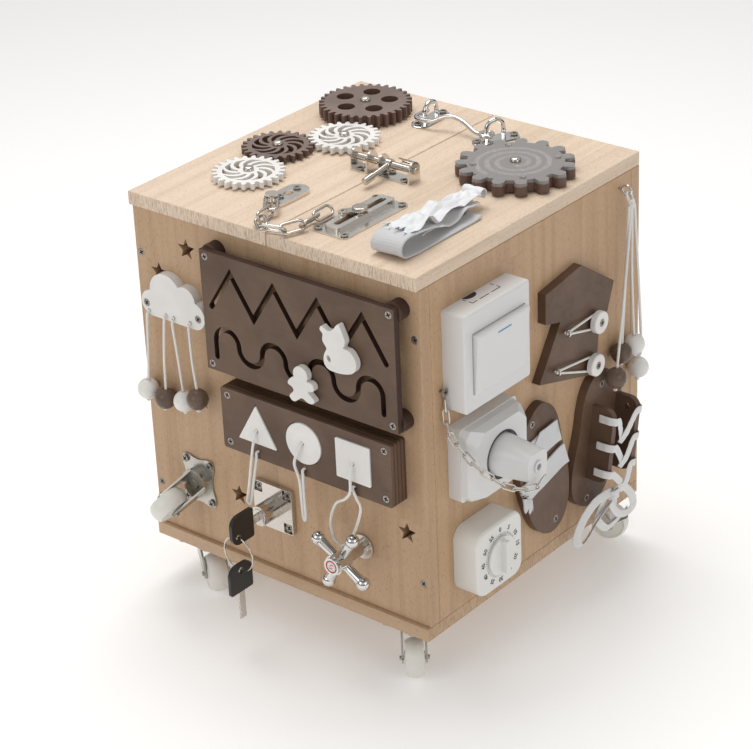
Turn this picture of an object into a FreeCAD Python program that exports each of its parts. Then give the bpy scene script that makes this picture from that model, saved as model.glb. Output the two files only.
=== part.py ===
"""Wooden baby activity cube on casters, with latches, gears, a maze, a lock and household fittings."""
import FreeCAD, Part
import math
import os
import Sketcher

Vector = FreeCAD.Vector
Rotation = FreeCAD.Rotation
Placement = FreeCAD.Placement

doc = FreeCAD.newDocument("activity_cube")

# ---------------------------------------------------------------- driving dimensions
# Heights on the side faces are measured up from the underside of the box, and sideways
# positions from its middle: along X on the front face and the top, along Y on the right face.
SIZES = (
    ("cube_width", 300, "width of the top and bottom boards, along X"),
    ("cube_depth", 300, "depth of the top and bottom boards, along Y"),
    ("box_height", 325, "underside of the bottom board to the top face"),
    ("board", 12, "thickness of every beech board"),
    ("front_setback", 4, "the front panel stands behind the front edges by this"),
    ("seam_gap", 0.8, "gap between the two halves of the top"),
    ("edge_round", 1, "rounding along the beech boards' edges"),
    ("caster_height", 45, "floor to the underside of the box"),
    ("painted_board", 8, "thickness of the painted outline boards"),
    ("shank_radius", 1.5, "radius of a wood screw's shank"),
    ("screw_head_radius", 3.4, "radius of a wood screw's head"),
    ("screw_head_depth", 1.6, "thickness of a wood screw's head"),
    ("screw_clearance", 0.1, "radial gap around a screw"),
    ("corner_screw", 144, "corner screws of a panel, from its middle"),
    ("low_screw", 52, "height of the lower panel screws"),
    ("high_screw", 270, "height of the upper panel screws"),
    ("star_radius", 9.5, "tip radius of a star opening"),
    ("maze_left", -62, "left edge of the maze board"),
    ("maze_right", 137.5, "right edge of the maze board"),
    ("maze_bottom", 193.5, "lower edge of the maze board"),
    ("maze_top", 300, "upper edge of the maze board"),
    ("maze_inset", 5.5, "maze corner screws, in from the edges"),
    ("maze_board", 6, "thickness of the maze board"),
    ("maze_standoff", 10, "length of the spacers behind the maze board"),
    ("slot_width", 5, "width of both maze slots"),
    ("zigzag_start", -52.6, "left end of the zigzag slot"),
    ("zigzag_low", 251.6, "height of the zigzag's valleys"),
    ("zigzag_high", 286, "height of the zigzag's peaks"),
    ("zigzag_pitch", 22.6, "sideways step from a peak to a valley"),
    ("wave_start", -50.3, "left end of the wave slot"),
    ("wave_middle", 221.5, "height of the wave's bend centres"),
    ("wave_pitch", 24.86, "diameter of each bend of the wave"),
    ("wave_leg", 14.5, "length of the wave's straight legs"),
    ("puzzle_left", -48, "left edge of the shape puzzle"),
    ("puzzle_right", 130.5, "right edge of the shape puzzle"),
    ("puzzle_bottom", 125.5, "lower edge of the shape puzzle"),
    ("puzzle_top", 181.5, "upper edge of the shape puzzle"),
    ("puzzle_layer", 6, "thickness of each of the puzzle's three layers"),
    ("shape_clearance", 0.6, "gap around a puzzle shape in its pocket"),
    ("caster_x", 114, "swivel axes under the box, from the middle"),
    ("caster_y", 125, "swivel axes under the box, from the middle"),
    ("wheel_radius", 17, "radius of a caster wheel"),
    ("wheel_width", 16, "width of a caster wheel"),
    ("caster_trail", 20, "swivel axis to wheel axle"),
    ("axle_radius", 2, "radius of a caster axle"),
    ("lock_x", -10.5, "axis of the lock barrel"),
    ("lock_height", 73, "axis of the lock barrel"),
    ("lock_plate", 42, "side of the lock's square case"),
    ("lock_barrel_radius", 9, "outside radius of the lock barrel"),
    ("lock_core_radius", 6.5, "radius of the turning core"),
    ("faucet_x", 82.5, "axis of the tap"),
    ("faucet_height", 66.5, "axis of the tap"),
    ("faucet_arm", 26.5, "tap axis to the middle of an arm's ball"),
    ("switch_y", -78, "middle of the light switch"),
    ("switch_height", 244, "middle of the light switch"),
    ("switch_side", 85, "side of the light switch's square box"),
    ("rocker_width", 67, "width of the switch rocker"),
    ("rocker_height", 51, "height of the switch rocker"),
    ("rocker_tilt", 4, "half the rocker's travel, degrees"),
    ("socket_y", -80, "axis of the socket and the plug"),
    ("socket_height", 151, "axis of the socket and the plug"),
    ("plug_length", 44, "recess floor to the plug's outer end"),
    ("timer_y", -84.5, "axis of the kitchen timer"),
    ("timer_height", 60, "axis of the kitchen timer"),
    ("timer_side", 60, "side of the kitchen timer"),
    ("bead_radius", 9.3, "radius of every wooden bead"),
    ("cord_radius", 1.2, "radius of the white cords"),
    ("gear_module", 2.4, "pitch diameter per tooth"),
    ("gear_teeth", 24, "teeth on each spoked gear"),
    ("large_gear_teeth", 32, "teeth on the large gear"),
    ("gear_thickness", 5, "thickness of a spoked gear"),
    ("large_gear_thickness", 10.5, "thickness of the large gear"),
    ("gear_lift", 1.5, "top face to the underside of a gear"),
    ("gear_x", -68, "axis of the rear white gear, the train's anchor"),
    ("gear_y", 29.3, "axis of the rear white gear"),
    ("pivot_radius", 2.5, "shank radius of the dome bolts that carry discs and gears"),
    ("spiral_x", 94, "axis of the spiral disc"),
    ("spiral_y", 53, "axis of the spiral disc"),
    ("spiral_radius", 49.5, "tip radius of the spiral disc's lobes"),
    ("spiral_lobes", 15, "lobes around the spiral disc"),
    ("bolt_y", -6.5, "axis of the barrel bolt"),
    ("bolt_lift", 10.5, "axis of the barrel bolt above the top face"),
    ("bolt_rod_radius", 3, "radius of the barrel bolt's rod"),
    ("hook_wire", 2, "wire radius of the cabin hook and its eyes"),
    ("strap_width", 30, "width of the webbing strap"),
)

sheet = doc.addObject("Spreadsheet::Sheet", "Sizes")
for row, (alias, number, note) in enumerate(SIZES, start=1):
    sheet.set(f"A{row}", alias)
    sheet.set(f"B{row}", str(number))
    sheet.set(f"C{row}", note)
    sheet.setAlias(f"B{row}", alias)
doc.recompute()


def size(alias):
    """A driving dimension as a plain number."""
    return float(sheet.get(alias))


def number(expression):
    """The value of an expression of the sheet's cells."""
    return float(sheet.evalExpression(str(expression)))


def bind(obj, **expressions):
    """Bind properties to expressions; a double underscore stands for a dot in the path."""
    for path, expression in expressions.items():
        obj.setExpression(path.replace("__", "."), str(expression))


# ---------------------------------------------------------------- the faces of the cube
# Every fitting is drawn flat: u across its face, v up it (or along +Y on top), w out of it.
FACES = {
    "front": Rotation(Vector(1, 0, 0), 90),
    "right": Rotation(Vector(1, 1, 1), 120),
    "back": Rotation(Vector(0, 0, 1), 180) * Rotation(Vector(1, 0, 0), 90),
    "left": Rotation(Vector(0, 0, 1), 180) * Rotation(Vector(1, 1, 1), 120),
    "top": Rotation(),
    "base": Rotation(),
    "under": Rotation(Vector(1, 0, 0), 180),
}
UP = "Sizes.caster_height"


def face_base(face, u="0", v="0", w="0"):
    """Expressions for the world place of a point given as u, v, w on a face."""
    front = f"-(Sizes.cube_depth / 2 - Sizes.front_setback) - ({w})"
    if face == "front":
        return f"{u}", front, f"{UP} + ({v})"
    if face == "right":
        return f"Sizes.cube_width / 2 + ({w})", f"{u}", f"{UP} + ({v})"
    if face == "back":
        return f"-({u})", f"Sizes.cube_depth / 2 + ({w})", f"{UP} + ({v})"
    if face == "left":
        return f"-Sizes.cube_width / 2 - ({w})", f"-({u})", f"{UP} + ({v})"
    if face == "top":
        return f"{u}", f"{v}", f"{UP} + Sizes.box_height + ({w})"
    if face == "base":
        return f"{u}", f"{v}", f"{UP} + ({w})"
    return f"{u}", f"-({v})", f"{UP} - ({w})"


def place(obj, face, u="0", v="0", w="0"):
    """Stand an object on a face, its own origin at u, v, w, and keep it bound to the sheet."""
    x, y, z = face_base(face, u, v, w)
    obj.Placement = Placement(Vector(number(x), number(y), number(z)), FACES[face])
    bind(obj, Placement__Base__x=x, Placement__Base__y=y, Placement__Base__z=z)
    return obj


def face_placement(face, u=0, v=0, w=0):
    """The same as a plain placement, for shapes made by functions."""
    x, y, z = face_base(face, u, v, w)
    return Placement(Vector(number(x), number(y), number(z)), FACES[face])


NODES = []


def keep(obj, label):
    """Name a finished sub-part."""
    obj.Label = label
    NODES.append(obj)
    return obj


# ---------------------------------------------------------------- flat outlines
def point(u, v, w=0.0):
    return Vector(u, v, w)


def polygon(corners):
    """Line segments around a closed list of corners."""
    ends = corners[1:] + corners[:1]
    return [Part.LineSegment(point(*a), point(*b)) for a, b in zip(corners, ends)]


def circle(u, v, radius):
    return [Part.Circle(point(u, v), Vector(0, 0, 1), radius)]


def arc(centre, radius, start, end):
    """A counter-clockwise arc, angles in degrees."""
    full = Part.Circle(point(*centre), Vector(0, 0, 1), radius)
    return Part.ArcOfCircle(full, math.radians(start), math.radians(end))


def polar(centre, radius, angle):
    """The point at an angle, in degrees, and a distance from a centre."""
    turn = math.radians(angle)
    return (centre[0] + radius * math.cos(turn), centre[1] + radius * math.sin(turn))


def rounded_rectangle(left, bottom, right, top, radius):
    """Four lines and four corner arcs."""
    centres = ((right - radius, top - radius), (left + radius, top - radius),
               (left + radius, bottom + radius), (right - radius, bottom + radius))
    parts = []
    for index, centre in enumerate(centres):
        start = 90 * index
        parts.append(arc(centre, radius, start, start + 90))
        following = centres[(index + 1) % 4]
        a = polar(centre, radius, start + 90)
        b = polar(following, radius, start + 90)
        parts.append(Part.LineSegment(point(*a), point(*b)))
    return parts


def smooth(points):
    """One closed curve through a few points."""
    curve = Part.BSplineCurve()
    curve.interpolate([point(*p) for p in points], PeriodicFlag=True)
    return [curve]


def star(centre, radius):
    """A five-pointed star with one tip up."""
    inner = 0.45 * radius
    corners = [polar(centre, inner if k % 2 else radius, 90 + 36 * k) for k in range(10)]
    return polygon(corners)


def face_of(*outlines):
    """A flat face: the first outline is its rim and the others are openings."""
    wires = [Part.Wire(Part.sortEdges([g.toShape() for g in outline])[0]) for outline in outlines]
    return Part.Face(wires, "Part::FaceMakerBullseye")


def slab(thickness, *outlines, base=0.0):
    """A flat face made solid, its back at height base."""
    flat = face_of(*outlines)
    flat.translate(Vector(0, 0, base))
    return flat.extrude(Vector(0, 0, thickness))


# ---------------------------------------------------------------- document builders
def sketch_on(body, name, outlines, offset=None):
    """A sketch on the body's own XY plane, lifted by an expression."""
    plane = next(f for f in body.Origin.OriginFeatures if f.Role == "XY_Plane")
    sketch = body.newObject("Sketcher::SketchObject", name)
    sketch.AttachmentSupport = [(plane, "")]
    sketch.MapMode = "FlatFace"
    if offset is not None:
        bind(sketch, AttachmentOffset__Base__z=offset)
    for outline in outlines:
        for geometry in outline:
            index = sketch.addGeometry(geometry, False)
            if isinstance(geometry, Part.Circle):
                sketch.addConstraint(Sketcher.Constraint("Radius", index, geometry.Radius))
    return sketch


def bound_rectangle(sketch, left, bottom, right, top):
    """A rectangle whose four edges are driven by expressions."""
    corners = [(number(left), number(bottom)), (number(right), number(bottom)),
               (number(right), number(top)), (number(left), number(top))]
    lines = [sketch.addGeometry(line, False) for line in polygon(corners)]
    for here, there in zip(lines, lines[1:] + lines[:1]):
        sketch.addConstraint(Sketcher.Constraint("Coincident", here, 2, there, 1))
    for index, kind in enumerate(("Horizontal", "Vertical", "Horizontal", "Vertical")):
        sketch.addConstraint(Sketcher.Constraint(kind, lines[index]))
    places = (("left", "DistanceX", lines[0], left), ("bottom", "DistanceY", lines[0], bottom),
              ("right", "DistanceX", lines[2], right), ("top", "DistanceY", lines[2], top))
    for name, kind, line, expression in places:
        made = sketch.addConstraint(Sketcher.Constraint(kind, -1, 1, line, 1, number(expression)))
        sketch.renameConstraint(made, f"{name}_edge")
        sketch.setExpression(f"Constraints.{name}_edge", str(expression))


def pad(body, sketch, thickness):
    feature = body.newObject("PartDesign::Pad", f"{sketch.Name}_pad")
    feature.Profile = sketch
    bind(feature, Length=thickness)
    return feature


def pocket(body, sketch, depth):
    """Cut down from the sketch into the board, and make sure that it cut."""
    doc.recompute()
    before = body.Shape.Volume
    feature = body.newObject("PartDesign::Pocket", f"{sketch.Name}_pocket")
    feature.Profile = sketch
    bind(feature, Length=depth)
    doc.recompute()
    if body.Shape.Volume >= before:
        raise ValueError(f"{feature.Name} cut nothing")
    return feature


def screw_hole(u, v):
    return circle(u, v, size("shank_radius") + size("screw_clearance"))


def head_hole(u, v):
    return circle(u, v, size("screw_head_radius") + size("screw_clearance"))


def board_body(label, edges, thickness, openings=(), sunk=()):
    """A rectangular board with openings, sunk screw heads and softened edges."""
    body = doc.addObject("PartDesign::Body", label)
    outline = sketch_on(body, f"{label}_outline", openings)
    bound_rectangle(outline, *edges)
    padded = pad(body, outline, thickness)
    doc.recompute()
    if sunk:
        heads = sketch_on(body, f"{label}_heads", [head_hole(*hole) for hole in sunk], thickness)
        padded = pocket(body, heads, "Sizes.screw_head_depth + Sizes.screw_clearance")
    corners = [number(e) for e in edges]
    soften(body, padded, corners, number(thickness))
    return body


def soften(body, feature, edges, thickness):
    """Round a board's twelve outer edges."""
    left, bottom, right, top = edges
    outer = []
    for index, edge in enumerate(feature.Shape.Edges, start=1):
        middle = edge.CenterOfMass
        on_rim = sum((abs(middle.x - left) < 1e-4 or abs(middle.x - right) < 1e-4,
                      abs(middle.y - bottom) < 1e-4 or abs(middle.y - top) < 1e-4,
                      abs(middle.z) < 1e-4 or abs(middle.z - thickness) < 1e-4))
        if on_rim == 2:
            outer.append(f"Edge{index}")
    fillet = body.newObject("PartDesign::Fillet", f"{body.Name}_rounding")
    fillet.Base = (feature, outer)
    bind(fillet, Radius="Sizes.edge_round")
    doc.recompute()


def outline_body(label, outlines, thickness, sunk=()):
    """A flat piece of any outline, with sunk screw heads."""
    body = doc.addObject("PartDesign::Body", label)
    pad(body, sketch_on(body, f"{label}_outline", outlines), thickness)
    if sunk:
        heads = sketch_on(body, f"{label}_heads", [head_hole(*hole) for hole in sunk], thickness)
        pocket(body, heads, "Sizes.screw_head_depth + Sizes.screw_clearance")
    return body


def feature(label, shape, face=None):
    """A sub-part whose shape is made by functions, stood on a face."""
    obj = doc.addObject("Part::Feature", label)
    obj.Shape = shape if shape.Placement.isIdentity() else Part.makeCompound([shape])
    if face is not None:
        obj.Placement = face_placement(face)
    return keep(obj, label)


# ---------------------------------------------------------------- solids used many times
def disc(u, v, w, radius, height):
    """An upright cylinder standing on height w."""
    return Part.makeCylinder(radius, height, Vector(u, v, w))


def head_room(u, v, top):
    """What is cut away for a screw head that lies flush with a board's face."""
    radius = size("screw_head_radius") + size("screw_clearance")
    return disc(u, v, top - size("screw_head_depth") - 0.1, radius, 5)


def rod_along(points, radius):
    """A round rod or cord whose middle runs smoothly through the points."""
    curve = Part.BSplineCurve()
    curve.interpolate([Vector(*p) for p in points])
    return swept(curve.toShape(), radius)


def swept(path, radius):
    wire = Part.Wire(path)
    start = wire.Edges[0]
    tangent = start.tangentAt(start.FirstParameter)
    ring = Part.Wire(Part.makeCircle(radius, start.valueAt(start.FirstParameter), tangent))
    solid = wire.makePipeShell([ring], True, True)
    return solid if solid.Volume > 0 else solid.reversed()


def oval_link(length, width, wire):
    """One chain link lying flat along X: two straights joined by two half rings."""
    bend = width / 2 - wire
    half = length / 2 - width / 2
    parts = []
    for side in (-1, 1):
        straight = Part.makeCylinder(wire, 2 * half, Vector(-half, side * bend, 0), Vector(1, 0, 0))
        ring = Part.makeTorus(bend, wire, Vector(0, 0, 0), Vector(0, 0, 1), -180, 180, 180)
        ring.rotate(Vector(0, 0, 0), Vector(0, 0, 1), -90 * side)
        ring.translate(Vector(side * half, 0, 0))
        parts += [straight, ring]
    return parts[0].fuse(parts[1:]).removeSplitter()


def chain(joints, link, rolls):
    """Links laid from joint to joint, each rolled about its own length."""
    links = []
    for a, b, turn in zip(joints, joints[1:], rolls):
        along = b - a
        lying = Rotation(along, Vector(0, 0, 0), Vector(0, 0, 1), "XZY")
        roll = Rotation(Vector(1, 0, 0), turn)
        copy = link.copy()
        copy.Placement = Placement((a + b) * 0.5, lying * roll)
        links.append(copy)
    return links


def spaced(points, count):
    """Points evenly spaced along a smooth path."""
    curve = Part.BSplineCurve()
    curve.interpolate([Vector(*p) for p in points])
    edge = curve.toShape()
    return [edge.valueAt(edge.getParameterByLength(edge.Length * k / count)) for k in range(count + 1)]


def wood_screw(u, v, top, length):
    """A screw seen from its own face: the head's top is at height top."""
    depth = size("screw_head_depth")
    head = disc(u, v, top - depth, size("screw_head_radius"), depth)
    shank = disc(u, v, top - length, size("shank_radius"), length - depth)
    return head.fuse(shank).removeSplitter()


# ---------------------------------------------------------------- where the screws go
# Each entry is u, v, height of the head's top above the face, length.
MAZE_FRONT = size("maze_standoff") + size("maze_board")
PUZZLE_FRONT = 3 * size("puzzle_layer")
PAINTED = size("painted_board")
HEAD = size("screw_head_depth")
PLATE = 2.0

PANEL_SCREWS = [(side * size("corner_screw"), size(height), 0.0, 24.0)
                for side in (-1, 1) for height in ("low_screw", "high_screw")]
MAZE_CORNERS = [(u, v)
                for u in (size("maze_left") + size("maze_inset"), size("maze_right") - size("maze_inset"))
                for v in (size("maze_bottom") + size("maze_inset"), size("maze_top") - size("maze_inset"))]
PUZZLE_CORNERS = [(u, v)
                  for u in (size("puzzle_left") + 7, size("puzzle_right") - 7)
                  for v in (size("puzzle_bottom") + 6.5, size("puzzle_top") - 6.5)]
CLOUD_SCREWS = [(-134.8, 229.5), (-77, 229.5)]
CASTER_HOLES = [(a * 13.5, b * 18) for a in (-1, 1) for b in (-1, 1)]
FRONT_CASTER = (-97, 69)
LOCK_CORNER = 15.5
LOCK_SCREWS = [(size("lock_x") + a * LOCK_CORNER, size("lock_height") + b * LOCK_CORNER)
               for a in (-1, 1) for b in (-1, 1)]
FRONT_SCREWS = (
    [(u, v, MAZE_FRONT, 26.0) for u, v in MAZE_CORNERS]
    + [(u, v, PUZZLE_FRONT, 28.0) for u, v in PUZZLE_CORNERS]
    + [(u, v, PAINTED, 18.0) for u, v in CLOUD_SCREWS]
    + [(FRONT_CASTER[0] + a, FRONT_CASTER[1] + b, PLATE + HEAD, 13.0) for a, b in CASTER_HOLES]
    + [(u, v, 2.0 + HEAD, 12.0) for u, v in LOCK_SCREWS]
)
INSOLE_SCREWS = [(-15.5, 143), (16, 39)]
SHOE_SCREWS = [(61, 38), (84, 138)]
PEGS = [(72, 202.5), (67, 165)]
PEG_TOP = PAINTED + 8.5
CHAIN_SCREW = (-124, 219)
RIGHT_SCREWS = (
    [(u, v, PAINTED, 18.0) for u, v in INSOLE_SCREWS + SHOE_SCREWS]
    + [(u, v, PEG_TOP, 24.0) for u, v in PEGS]
    + [(*CHAIN_SCREW, 5.0, 15.0)]
)
ANCHOR = (-31.5, -88)
SLOT_PLATE = (44.5, -86)
LEFT_EYE = (-38, 109)
RIGHT_EYE = (36, 103.5)
BEAD_EYE = (120.4, 302)
EYE_TURN = {LEFT_EYE: 0.0, RIGHT_EYE: -26.0}
STRAP_SCREW = (109.6, -39.7)
HARDWARE_TOP = 1.2 + HEAD
BOLT_Y = size("bolt_y")
TOP_SCREWS = (
    [(ANCHOR[0], ANCHOR[1] + step, 3.2 + HEAD, 13.0) for step in (-7.5, 13.5)]
    + [(SLOT_PLATE[0] + a * 13.5, SLOT_PLATE[1] + b * 36, HARDWARE_TOP, 11.0)
       for a in (-1, 1) for b in (-1, 1)]
    + [(*polar(eye, side * 17.5, 90 + EYE_TURN[eye]), 1.5 + HEAD, 11.0)
       for eye in (LEFT_EYE, RIGHT_EYE) for side in (-1, 1)]
    + [(u, BOLT_Y + side * 4.8, 1.2 + HEAD, 11.0) for u in (-17, 9, 29) for side in (-1, 1)]
    + [(*STRAP_SCREW, 2.4 + HEAD, 12.0)]
)
UNDER_CASTERS = [(a * size("caster_x"), b * size("caster_y")) for a in (-1, 1) for b in (-1, 1)]
UNDER_SCREWS = [(u + a, v + b, PLATE + HEAD, 13.0)
                for u, v in UNDER_CASTERS for a, b in CASTER_HOLES]


def holes(screws):
    return [screw_hole(screw[0], screw[1]) for screw in screws]


# ---------------------------------------------------------------- the beech box
HALF_W = "Sizes.cube_width / 2"
HALF_D = "Sizes.cube_depth / 2"
LOW = "Sizes.board"
HIGH = "Sizes.box_height - Sizes.board"
STARS = ((-92, 285.5), (-125, 256.5), (-87.5, 149.5), (-52.5, 69), (129, 94.5))
GEAR_BOLT = size("pivot_radius")


def gear_train():
    """Axes and turns of the four gears so that every pair is in mesh."""
    pitch = size("gear_module") * size("gear_teeth") / 2
    large = size("gear_module") * size("large_gear_teeth") / 2
    slack = 0.15
    rear = (size("gear_x"), size("gear_y"))
    brown = polar(rear, 2 * pitch + slack, 234.4)
    front = polar(brown, 2 * pitch + slack, 286.5)
    big = polar(rear, pitch + large + slack, 113.8)
    return {"rear": rear, "brown": brown, "front": front, "large": big}


GEAR_AXES = gear_train()
SPIRAL_AXIS = (size("spiral_x"), size("spiral_y"))


def build_box():
    bottom = board_body("bottom_board", (f"-{HALF_W}", f"-{HALF_D}", HALF_W, HALF_D), LOW,
                        holes([(u, -v, 0, 0) for u, v, top, length in UNDER_SCREWS]))
    keep(place(bottom, "base"), "bottom_board")

    gap = "Sizes.seam_gap / 2"
    for label, left, right in (("top_board_left", f"-{HALF_W}", f"-{gap}"),
                               ("top_board_right", gap, HALF_W)):
        inside = [s for s in TOP_SCREWS if number(left) < s[0] < number(right)]
        axes = [a for a in [*GEAR_AXES.values(), SPIRAL_AXIS] if number(left) < a[0] < number(right)]
        pivots = [circle(*axis, GEAR_BOLT + size("screw_clearance")) for axis in axes]
        body = board_body(label, (left, f"-{HALF_D}", right, HALF_D), LOW, holes(inside) + pivots)
        keep(place(body, "top", w="-Sizes.board"), label)

    edges = (f"-{HALF_W}", LOW, HALF_W, HIGH)
    stars = [star(centre, size("star_radius")) for centre in STARS]
    corner = [(s[0], s[1]) for s in PANEL_SCREWS]
    openings = stars + holes(FRONT_SCREWS + PANEL_SCREWS)
    openings.append(circle(size("faucet_x"), size("faucet_height"), 4.1))
    front = board_body("front_panel", edges, LOW, openings, corner)
    keep(place(front, "front", w="-Sizes.board"), "front_panel")
    back = board_body("back_panel", edges, LOW, holes(PANEL_SCREWS), corner)
    keep(place(back, "back", w="-Sizes.board"), "back_panel")

    near = "-(Sizes.cube_depth / 2 - Sizes.front_setback - Sizes.board)"
    far = "Sizes.cube_depth / 2 - Sizes.board"
    for label, face, first, last, screws in (("right_panel", "right", near, far, RIGHT_SCREWS),
                                             ("left_panel", "left", f"-({far})", f"-({near})", [])):
        openings = holes(screws)
        if face == "right":
            openings.append(circle(*BEAD_EYE, 1.3))
        body = board_body(f"{label}_blank", (first, LOW, last, HIGH), LOW, openings)
        drills = []
        for u, v, top, length in PANEL_SCREWS[:2]:
            radius = size("shank_radius") + size("screw_clearance")
            drills.append(Part.makeCylinder(radius, number(f"{last} - ({first})") + 20,
                                            Vector(number(first) - 10, v, 6), Vector(1, 0, 0)))
        tool = doc.addObject("Part::Feature", f"{label}_drill")
        tool.Shape = Part.makeCompound(drills)
        cut = doc.addObject("Part::Cut", label)
        cut.Base = body
        cut.Tool = tool
        keep(place(cut, face, w="-Sizes.board"), label)


def build_screws():
    """Every countersunk wood screw of the cube, as separate solids."""
    groups = (("front", FRONT_SCREWS + PANEL_SCREWS), ("back", PANEL_SCREWS),
              ("right", RIGHT_SCREWS), ("top", TOP_SCREWS), ("under", UNDER_SCREWS))
    solids = []
    for face, screws in groups:
        for u, v, top, length in screws:
            solid = wood_screw(u, v, top, length)
            solid.Placement = face_placement(face)
            solids.append(solid)
    feature("wood_screws", Part.makeCompound(solids))


# ---------------------------------------------------------------- casters
def caster_plate():
    """Mounting plate, ball race and king pin, the plate's back at height 0."""
    plate = slab(PLATE, rounded_rectangle(-17.5, -22.5, 17.5, 22.5, 4),
                 *[screw_hole(a, b) for a, b in CASTER_HOLES])
    # The plate's edges curve in between its corners.
    for side in (-1, 1):
        plate = plate.cut([disc(side * 50, 0, -1, 35, 4), disc(0, side * 41.75, -1, 21.25, 4)])
    race = disc(0, 0, PLATE, 12.5, 4.5)
    pin = disc(0, 0, 6, 3, 4.2)
    cap = disc(0, 0, 9.3, 5, 1)
    return plate.fuse([race, pin, cap]).removeSplitter()


def caster_fork():
    """Swivel disc and two arms, trailing along +X, with the axle as its own solid."""
    trail = size("caster_trail")
    axle_height = size("caster_height") - size("wheel_radius")
    inner = size("wheel_width") / 2 + 1
    arm_thickness = 1.8
    crown = disc(0, 0, 6.8, 13, 2.3).cut(disc(0, 0, 6, 3.2, 5))
    arms = []
    for side in (-1, 1):
        outline = [(-9, 6.8), (10, 6.8), (trail + 4, axle_height - 3), (trail + 4, axle_height + 3),
                   (trail, axle_height + 5), (trail - 5, axle_height + 3), (-9, 9.5)]
        arm = face_of(polygon(outline))
        axle_hole = circle(trail, axle_height, size("axle_radius") + 0.05)
        arm = arm.cut(face_of(axle_hole))
        solid = arm.extrude(Vector(0, 0, arm_thickness))
        solid.rotate(Vector(0, 0, 0), Vector(1, 0, 0), 90)
        solid.translate(Vector(0, inner + arm_thickness if side < 0 else -inner, 0))
        arms.append(solid)
        web = Part.makeBox(14, 4.4, 2.3, Vector(-9, inner - 4.4 if side < 0 else -inner, 6.8))
        arms.append(web)
    fork = crown.fuse(arms).removeSplitter()
    half_axle = inner + arm_thickness + 1.7
    start = Vector(trail, -half_axle, axle_height)
    axle = Part.makeCylinder(size("axle_radius"), 2 * half_axle, start, Vector(0, 1, 0))
    return Part.makeCompound([fork, axle])


def caster_wheel():
    """A solid wheel with a raised hub and a rounded tread."""
    radius = size("wheel_radius")
    half = size("wheel_width") / 2
    axle = size("axle_radius") + 0.05
    crown = 3.0
    profile = [(axle, -half - 0.6), (5, -half - 0.6), (5.5, -half), (radius - 4, -half + 0.8),
               (radius - 3, -half)]
    right = [(radius - 3, half), (radius - 4, half - 0.8), (5.5, half), (5, half + 0.6), (axle, half + 0.6)]
    edges = [Part.makeLine(Vector(a[0], 0, a[1]), Vector(b[0], 0, b[1]))
             for a, b in zip(profile, profile[1:])]
    tread = Part.Arc(Vector(radius - crown, 0, -half), Vector(radius, 0, 0), Vector(radius - crown, 0, half))
    edges.append(tread.toShape())
    edges += [Part.makeLine(Vector(a[0], 0, a[1]), Vector(b[0], 0, b[1])) for a, b in zip(right, right[1:])]
    edges.append(Part.makeLine(Vector(axle, 0, half + 0.6), Vector(axle, 0, -half - 0.6)))
    turned = Part.Face(Part.Wire(edges)).revolve(Vector(0, 0, 0), Vector(0, 0, 1), 360)
    turned.rotate(Vector(0, 0, 0), Vector(1, 0, 0), -90)
    turned.translate(Vector(size("caster_trail"), 0, size("caster_height") - radius))
    return turned


# Face, swivel axis on it, and the way the wheel trails, in degrees on that face.
CASTERS = {
    "front_panel": ("front", *FRONT_CASTER, -129),
    "front_left": ("under", -size("caster_x"), size("caster_y"), 34),
    "front_right": ("under", size("caster_x"), size("caster_y"), 50),
    "back_left": ("under", -size("caster_x"), -size("caster_y"), -58),
    "back_right": ("under", size("caster_x"), -size("caster_y"), -25),
}


def build_casters():
    plates = []
    for name, (face, u, v, heading) in CASTERS.items():
        stand = face_placement(face, u, v)
        plate = caster_plate()
        plate.Placement = stand
        plates.append(plate)
        turned = Placement(stand.Base, stand.Rotation * Rotation(Vector(0, 0, 1), heading))
        for part, shape in (("fork", caster_fork()), ("wheel", caster_wheel())):
            obj = feature(f"caster_{part}_{name}", shape)
            obj.Placement = turned
    feature("caster_plates", Part.makeCompound(plates))


# ---------------------------------------------------------------- maze
def zigzag_points():
    levels = (size("zigzag_low"), size("zigzag_high"))
    return [(size("zigzag_start") + k * size("zigzag_pitch"), levels[k % 2]) for k in range(9)]


def band(points, half):
    """The outline of a mitred band along straight runs, with round ends."""
    left, right = [], []
    for index, here in enumerate(points):
        before = points[index - 1] if index else None
        after = points[index + 1] if index + 1 < len(points) else None
        turns = [math.atan2(b[1] - a[1], b[0] - a[0])
                 for a, b in ((before, here), (here, after)) if a and b]
        heading = sum(turns) / len(turns)
        spread = half / math.cos((turns[0] - turns[-1]) / 2)
        offset = (-math.sin(heading) * spread, math.cos(heading) * spread)
        left.append((here[0] + offset[0], here[1] + offset[1]))
        right.append((here[0] - offset[0], here[1] - offset[1]))
    rim = [Part.LineSegment(point(*a), point(*b))
           for side in (left, right) for a, b in zip(side, side[1:])]
    for index, turn in ((0, 1), (-1, -1)):
        a, b = left[index], right[index]
        near = points[1] if index == 0 else points[-2]
        end = points[index]
        reach = math.hypot(end[0] - near[0], end[1] - near[1])
        tip = (end[0] + (end[0] - near[0]) / reach * half, end[1] + (end[1] - near[1]) / reach * half)
        rim.append(Part.Arc(point(*a), point(*tip), point(*b)))
    return rim


def wave_slot(half):
    """Seven half rings in turn above and below, with a straight leg at each end."""
    bend = size("wave_pitch") / 2
    level = size("wave_middle")
    start = size("wave_start")
    leg = size("wave_leg")
    end = start + 14 * bend
    rim = []
    for k in range(7):
        centre = (start + (2 * k + 1) * bend, level)
        first = 0 if k % 2 == 0 else 180
        for radius in (bend - half, bend + half):
            rim.append(arc(centre, radius, first, first + 180))
    for side in (start, end):
        for edge in (-half, half):
            rim.append(Part.LineSegment(point(side + edge, level), point(side + edge, level - leg)))
        rim.append(arc((side, level - leg), half, 180, 360))
    return rim


FIGURE_GAP = 0.8
FIGURE_THICKNESS = 5.5


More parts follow.
